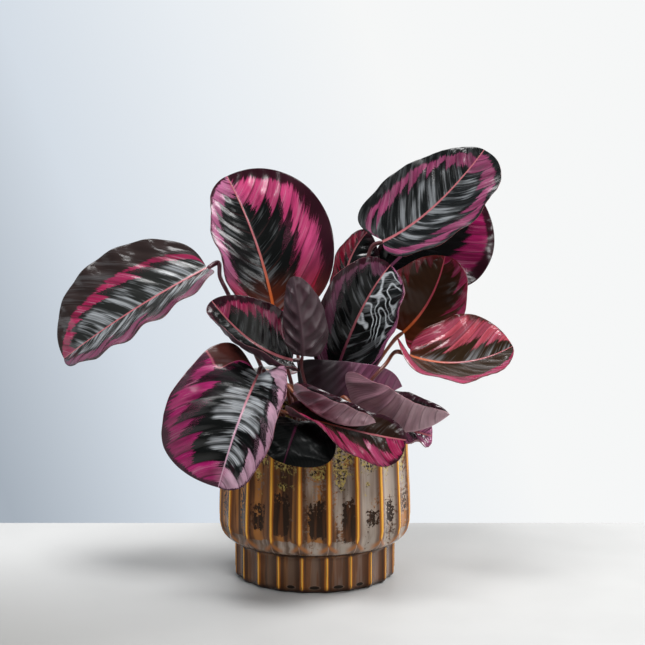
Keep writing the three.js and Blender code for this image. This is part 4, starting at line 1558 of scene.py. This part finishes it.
@dataclass
class Soil:
    """The potting mix in the pot, with chips on it."""

    height: float = 104.0
    mound: float = 4.0
    lump: float = 0.8
    crumb: float = 0.45
    reach: float = 65.7
    narrow: float = 56.3
    floor: float = 7.3
    shelf: tuple[float, float] = (31.5, 41.8)
    chips: int = 320
    chip_reach: float = 62.0
    chip_lift: float = 0.3
    chip_sizes: tuple[Triple, Triple] = ((1.2, 0.8, 0.4), (3.6, 2.0, 0.9))
    grain_sizes: tuple[float, float] = (0.6, 1.3)
    pale_share: float = 0.12
    pale: Triple = (0.55, 0.50, 0.42)
    bark: Triple = (0.075, 0.036, 0.018)

    def top(self, radius: np.ndarray, angle: np.ndarray) -> np.ndarray:
        """The top, with lumps and crumbs.

        Args:
            radius: Distance from the middle.
            angle: Direction from the middle.

        Returns:
            Its height.
        """
        mound = self.mound * (1 - (radius / self.reach) ** 2)
        lump = self.lump * np.sin(3 * angle + radius / 9) * np.sin(radius / 11)
        x, y = radius * np.cos(angle), radius * np.sin(angle)
        crumb = np.sin(0.9 * x + 0.7 * y) * np.sin(1.1 * y - 0.5 * x) + 0.6 * np.sin(2.3 * x) * np.sin(2.1 * y + 1)
        return self.height + mound + lump + self.crumb * crumb

    def make(self) -> None:
        """Builds the fill and the chips."""
        angle = 2 * np.pi * np.arange(180) / 180
        wall = [(self.floor, self.narrow), (self.shelf[0], self.narrow), (self.shelf[1], self.reach)]
        radius = self.reach * np.linspace(1.0, 0.02, 70)[:, None]
        grid = [around(wide, angle, z) for z, wide in wall]
        parts = MeshParts()
        index = parts.vertices(np.array([*grid, *around(radius, angle, self.top(radius, angle))]), {})
        parts.skin(index, wrap=True)
        peak = float(self.top(np.zeros(1), np.zeros(1))[0])
        parts.cap(index, np.array([(0.0, 0.0, self.floor), (0.0, 0.0, peak)]), {})
        settle(parts.build("potting_mix", [SoilFinish().material()]), ("soil",))
        self.scatter()

    def scatter(self) -> None:
        """Builds the bark chips and pale grains."""
        rng = np.random.default_rng(11)
        parts = MeshParts()
        corners = np.array([(x, y, z) for x in (-1, 1) for y in (-1, 1) for z in (-1, 1)], float)
        faces = np.array([(0, 1, 3, 2), (4, 6, 7, 5), (0, 4, 5, 1), (2, 3, 7, 6), (0, 2, 6, 4), (1, 5, 7, 3)])
        for _ in range(self.chips):
            radius, angle = self.chip_reach * math.sqrt(rng.random()), 2 * np.pi * rng.random()
            pale = rng.random() < self.pale_share
            size = rng.uniform(*self.grain_sizes, 3) if pale else rng.uniform(*self.chip_sizes)
            spin = unit(rng.normal(size=3) * (0.5, 0.5, 1.0))
            aside = unit(np.cross(spin, (0.3, 0.9, 0.1)))
            chip = (corners * size * rng.uniform(0.75, 1.1, (8, 3))) @ np.stack([aside, np.cross(spin, aside), spin])
            middle = around(radius, angle, self.top(radius, angle) + self.chip_lift)
            tone = np.array(self.pale) if pale else np.array(self.bark) * rng.uniform(0.5, 1.6)
            index = parts.vertices(chip + middle, {"chip_tone": np.tile(tone, (8, 1))})
            parts.add(index[faces])
        chips = parts.build("soil_chips", [ChipFinish().material()])
        chips.data.polygons.foreach_set("use_smooth", [False] * len(chips.data.polygons))
        settle(chips)


# ---- Studio ----------------------------------------------------------------------


@dataclass(frozen=True)
class SoftBox:
    """A large soft light, in metres and watts."""

    name: str
    place: Triple
    size: tuple[float, float]
    power: float
    tint: Triple = (1.0, 1.0, 1.0)
    aim: Triple = (0.0, 0.0, 0.15)

    def make(self) -> None:
        """Builds the light."""
        lamp = bpy.data.lights.new(self.name, "AREA")
        lamp.shape = "RECTANGLE"
        lamp.size, lamp.size_y = self.size
        lamp.energy = self.power
        lamp.color = self.tint
        made = bpy.data.objects.new(self.name, lamp)
        made.location = self.place
        made.rotation_euler = (Vector(self.aim) - Vector(self.place)).to_track_quat("-Z", "Y").to_euler()
        bpy.context.scene.collection.objects.link(made)


@dataclass
class Studio:
    """A pale table, a pale surround, soft lights and the camera."""

    table_back: float = 0.155
    table_reach: float = 3.0
    table_thickness: float = 0.03
    front_light: float = 0.10
    sky: tuple[Triple, ...] = ((0.38, 0.43, 0.49), (0.66, 0.72, 0.79), (0.81, 0.85, 0.89), (0.92, 0.93, 0.93))
    sensor: float = 36.0
    focal: float = 36.0 * 1618.0 / 645.0
    stand: Triple = (0.006, -1.240, 0.352)
    tip_down: float = 7.1
    boxes: tuple[SoftBox, ...] = (
        SoftBox("window", (1.2, 0.7, 1.1), (0.8, 0.9), 30.0),
        SoftBox("skylight", (-0.2, -0.45, 1.7), (0.8, 0.5), 24.0),
        SoftBox("lamp", (0.5, -1.4, 1.25), (0.3, 0.3), 7.0),
        SoftBox("doorway", (1.5, -0.7, 0.5), (0.12, 1.1), 4.0),
        SoftBox("fill", (-1.4, -0.8, 0.6), (0.4, 1.0), 3.0, (0.92, 0.96, 1.0)),
    )

    def paint(self) -> bpy.types.Material:
        """Makes the table's paint: painted light, a little brighter at the left than the right, and painted shadow
        towards the front and the left.

        Returns:
            The material.
        """
        s = Shader("table_paint")
        x, y, _ = s.split(s.place())
        # Painted light: the table brighter to the left of the pot than to the right.
        tone = s.mix(x.step(-0.2, 0.1), (0.51, 0.51, 0.505), (0.435, 0.435, 0.43))
        brushed = s.noise(s.place(), 18.0, 3.0).step(0.3, 0.7, 0.0, 0.1)
        tone = s.mix(brushed, tone, (0.60, 0.60, 0.59))
        # Painted shadow, darker towards the front and the left.
        near = (x * -1.2 - y * 1.6).step(0.15, 0.75, 0.0, 0.85)
        return s.finish(Base_Color=s.mix(near, tone, (0.210, 0.200, 0.185)), Roughness=0.5)

    def table(self) -> None:
        """Builds the table top."""
        mesh = bpy.data.meshes.new("table")
        side, back = self.table_reach, self.table_back
        ground = ((-side, -side), (side, -side), (side, back), (-side, back))
        corners = [(x, y, z) for z in (-self.table_thickness, 0.0) for x, y in ground]
        sides = [(0, 1, 5, 4), (1, 2, 6, 5), (2, 3, 7, 6), (3, 0, 4, 7)]
        mesh.from_pydata(corners, [], [(3, 2, 1, 0), (4, 5, 6, 7), *sides])
        mesh.materials.append(self.paint())
        made = bpy.data.objects.new("table", mesh)
        bpy.context.scene.collection.objects.link(made)

    def surround(self) -> None:
        """Makes the surround pale, cooler at the lower left, and dims the light from it in front."""
        world = bpy.data.worlds.new("surround")
        bpy.context.scene.world = world
        world.use_nodes = True
        back = next(n for n in world.node_tree.nodes if n.type == "BACKGROUND")
        tree = Tree(world.node_tree)
        where = tree.node("TexCoord", {}, "Generated")
        slope = tree.node("VectorMath", {0: where, 1: (4.2, 0.0, 1.6)}, "Value", operation="DOT_PRODUCT")
        spread = tree.node("MapRange", {"Value": slope, "From Min": -1.16, "From Max": 0.2})
        ramp = tree.node("ValToRGB", {"Fac": spread}, "Color")
        stops = ramp.socket.node.color_ramp.elements
        for place in (0.33, 0.67):
            stops.new(place)
        for stop, tone in zip(stops, self.sky):
            stop.color = (*tone, 1.0)
        depth = tree.split(where)[1].step(-0.4, 0.7, self.front_light, 1.0)
        tree.plug(back.inputs["Color"], ramp)
        tree.plug(back.inputs["Strength"], tree.node("LightPath", {}, "Is Camera Ray").math("MAXIMUM", depth))

    def camera(self) -> None:
        """Builds the camera, at the height of the leaves and tipped down a little."""
        lens = bpy.data.cameras.new("camera")
        lens.sensor_width, lens.lens = self.sensor, self.focal
        made = bpy.data.objects.new("camera", lens)
        made.location = self.stand
        made.rotation_euler = (math.radians(90.0 - self.tip_down), 0.0, 0.0)
        bpy.context.scene.collection.objects.link(made)
        bpy.context.scene.camera = made

    def make(self) -> None:
        """Builds the whole studio."""
        self.camera()
        bpy.context.scene.view_settings.view_transform = "Standard"
        self.surround()
        self.table()
        for box in self.boxes:
            box.make()


def main() -> None:
    """Builds the scene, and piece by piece."""
    logging.basicConfig(level=logging.INFO, format="%(name)s %(message)s")
    Studio().make()
    Pot().make()
    Soil().make()
    Foliage().make()


if __name__ == "__main__":
    main()
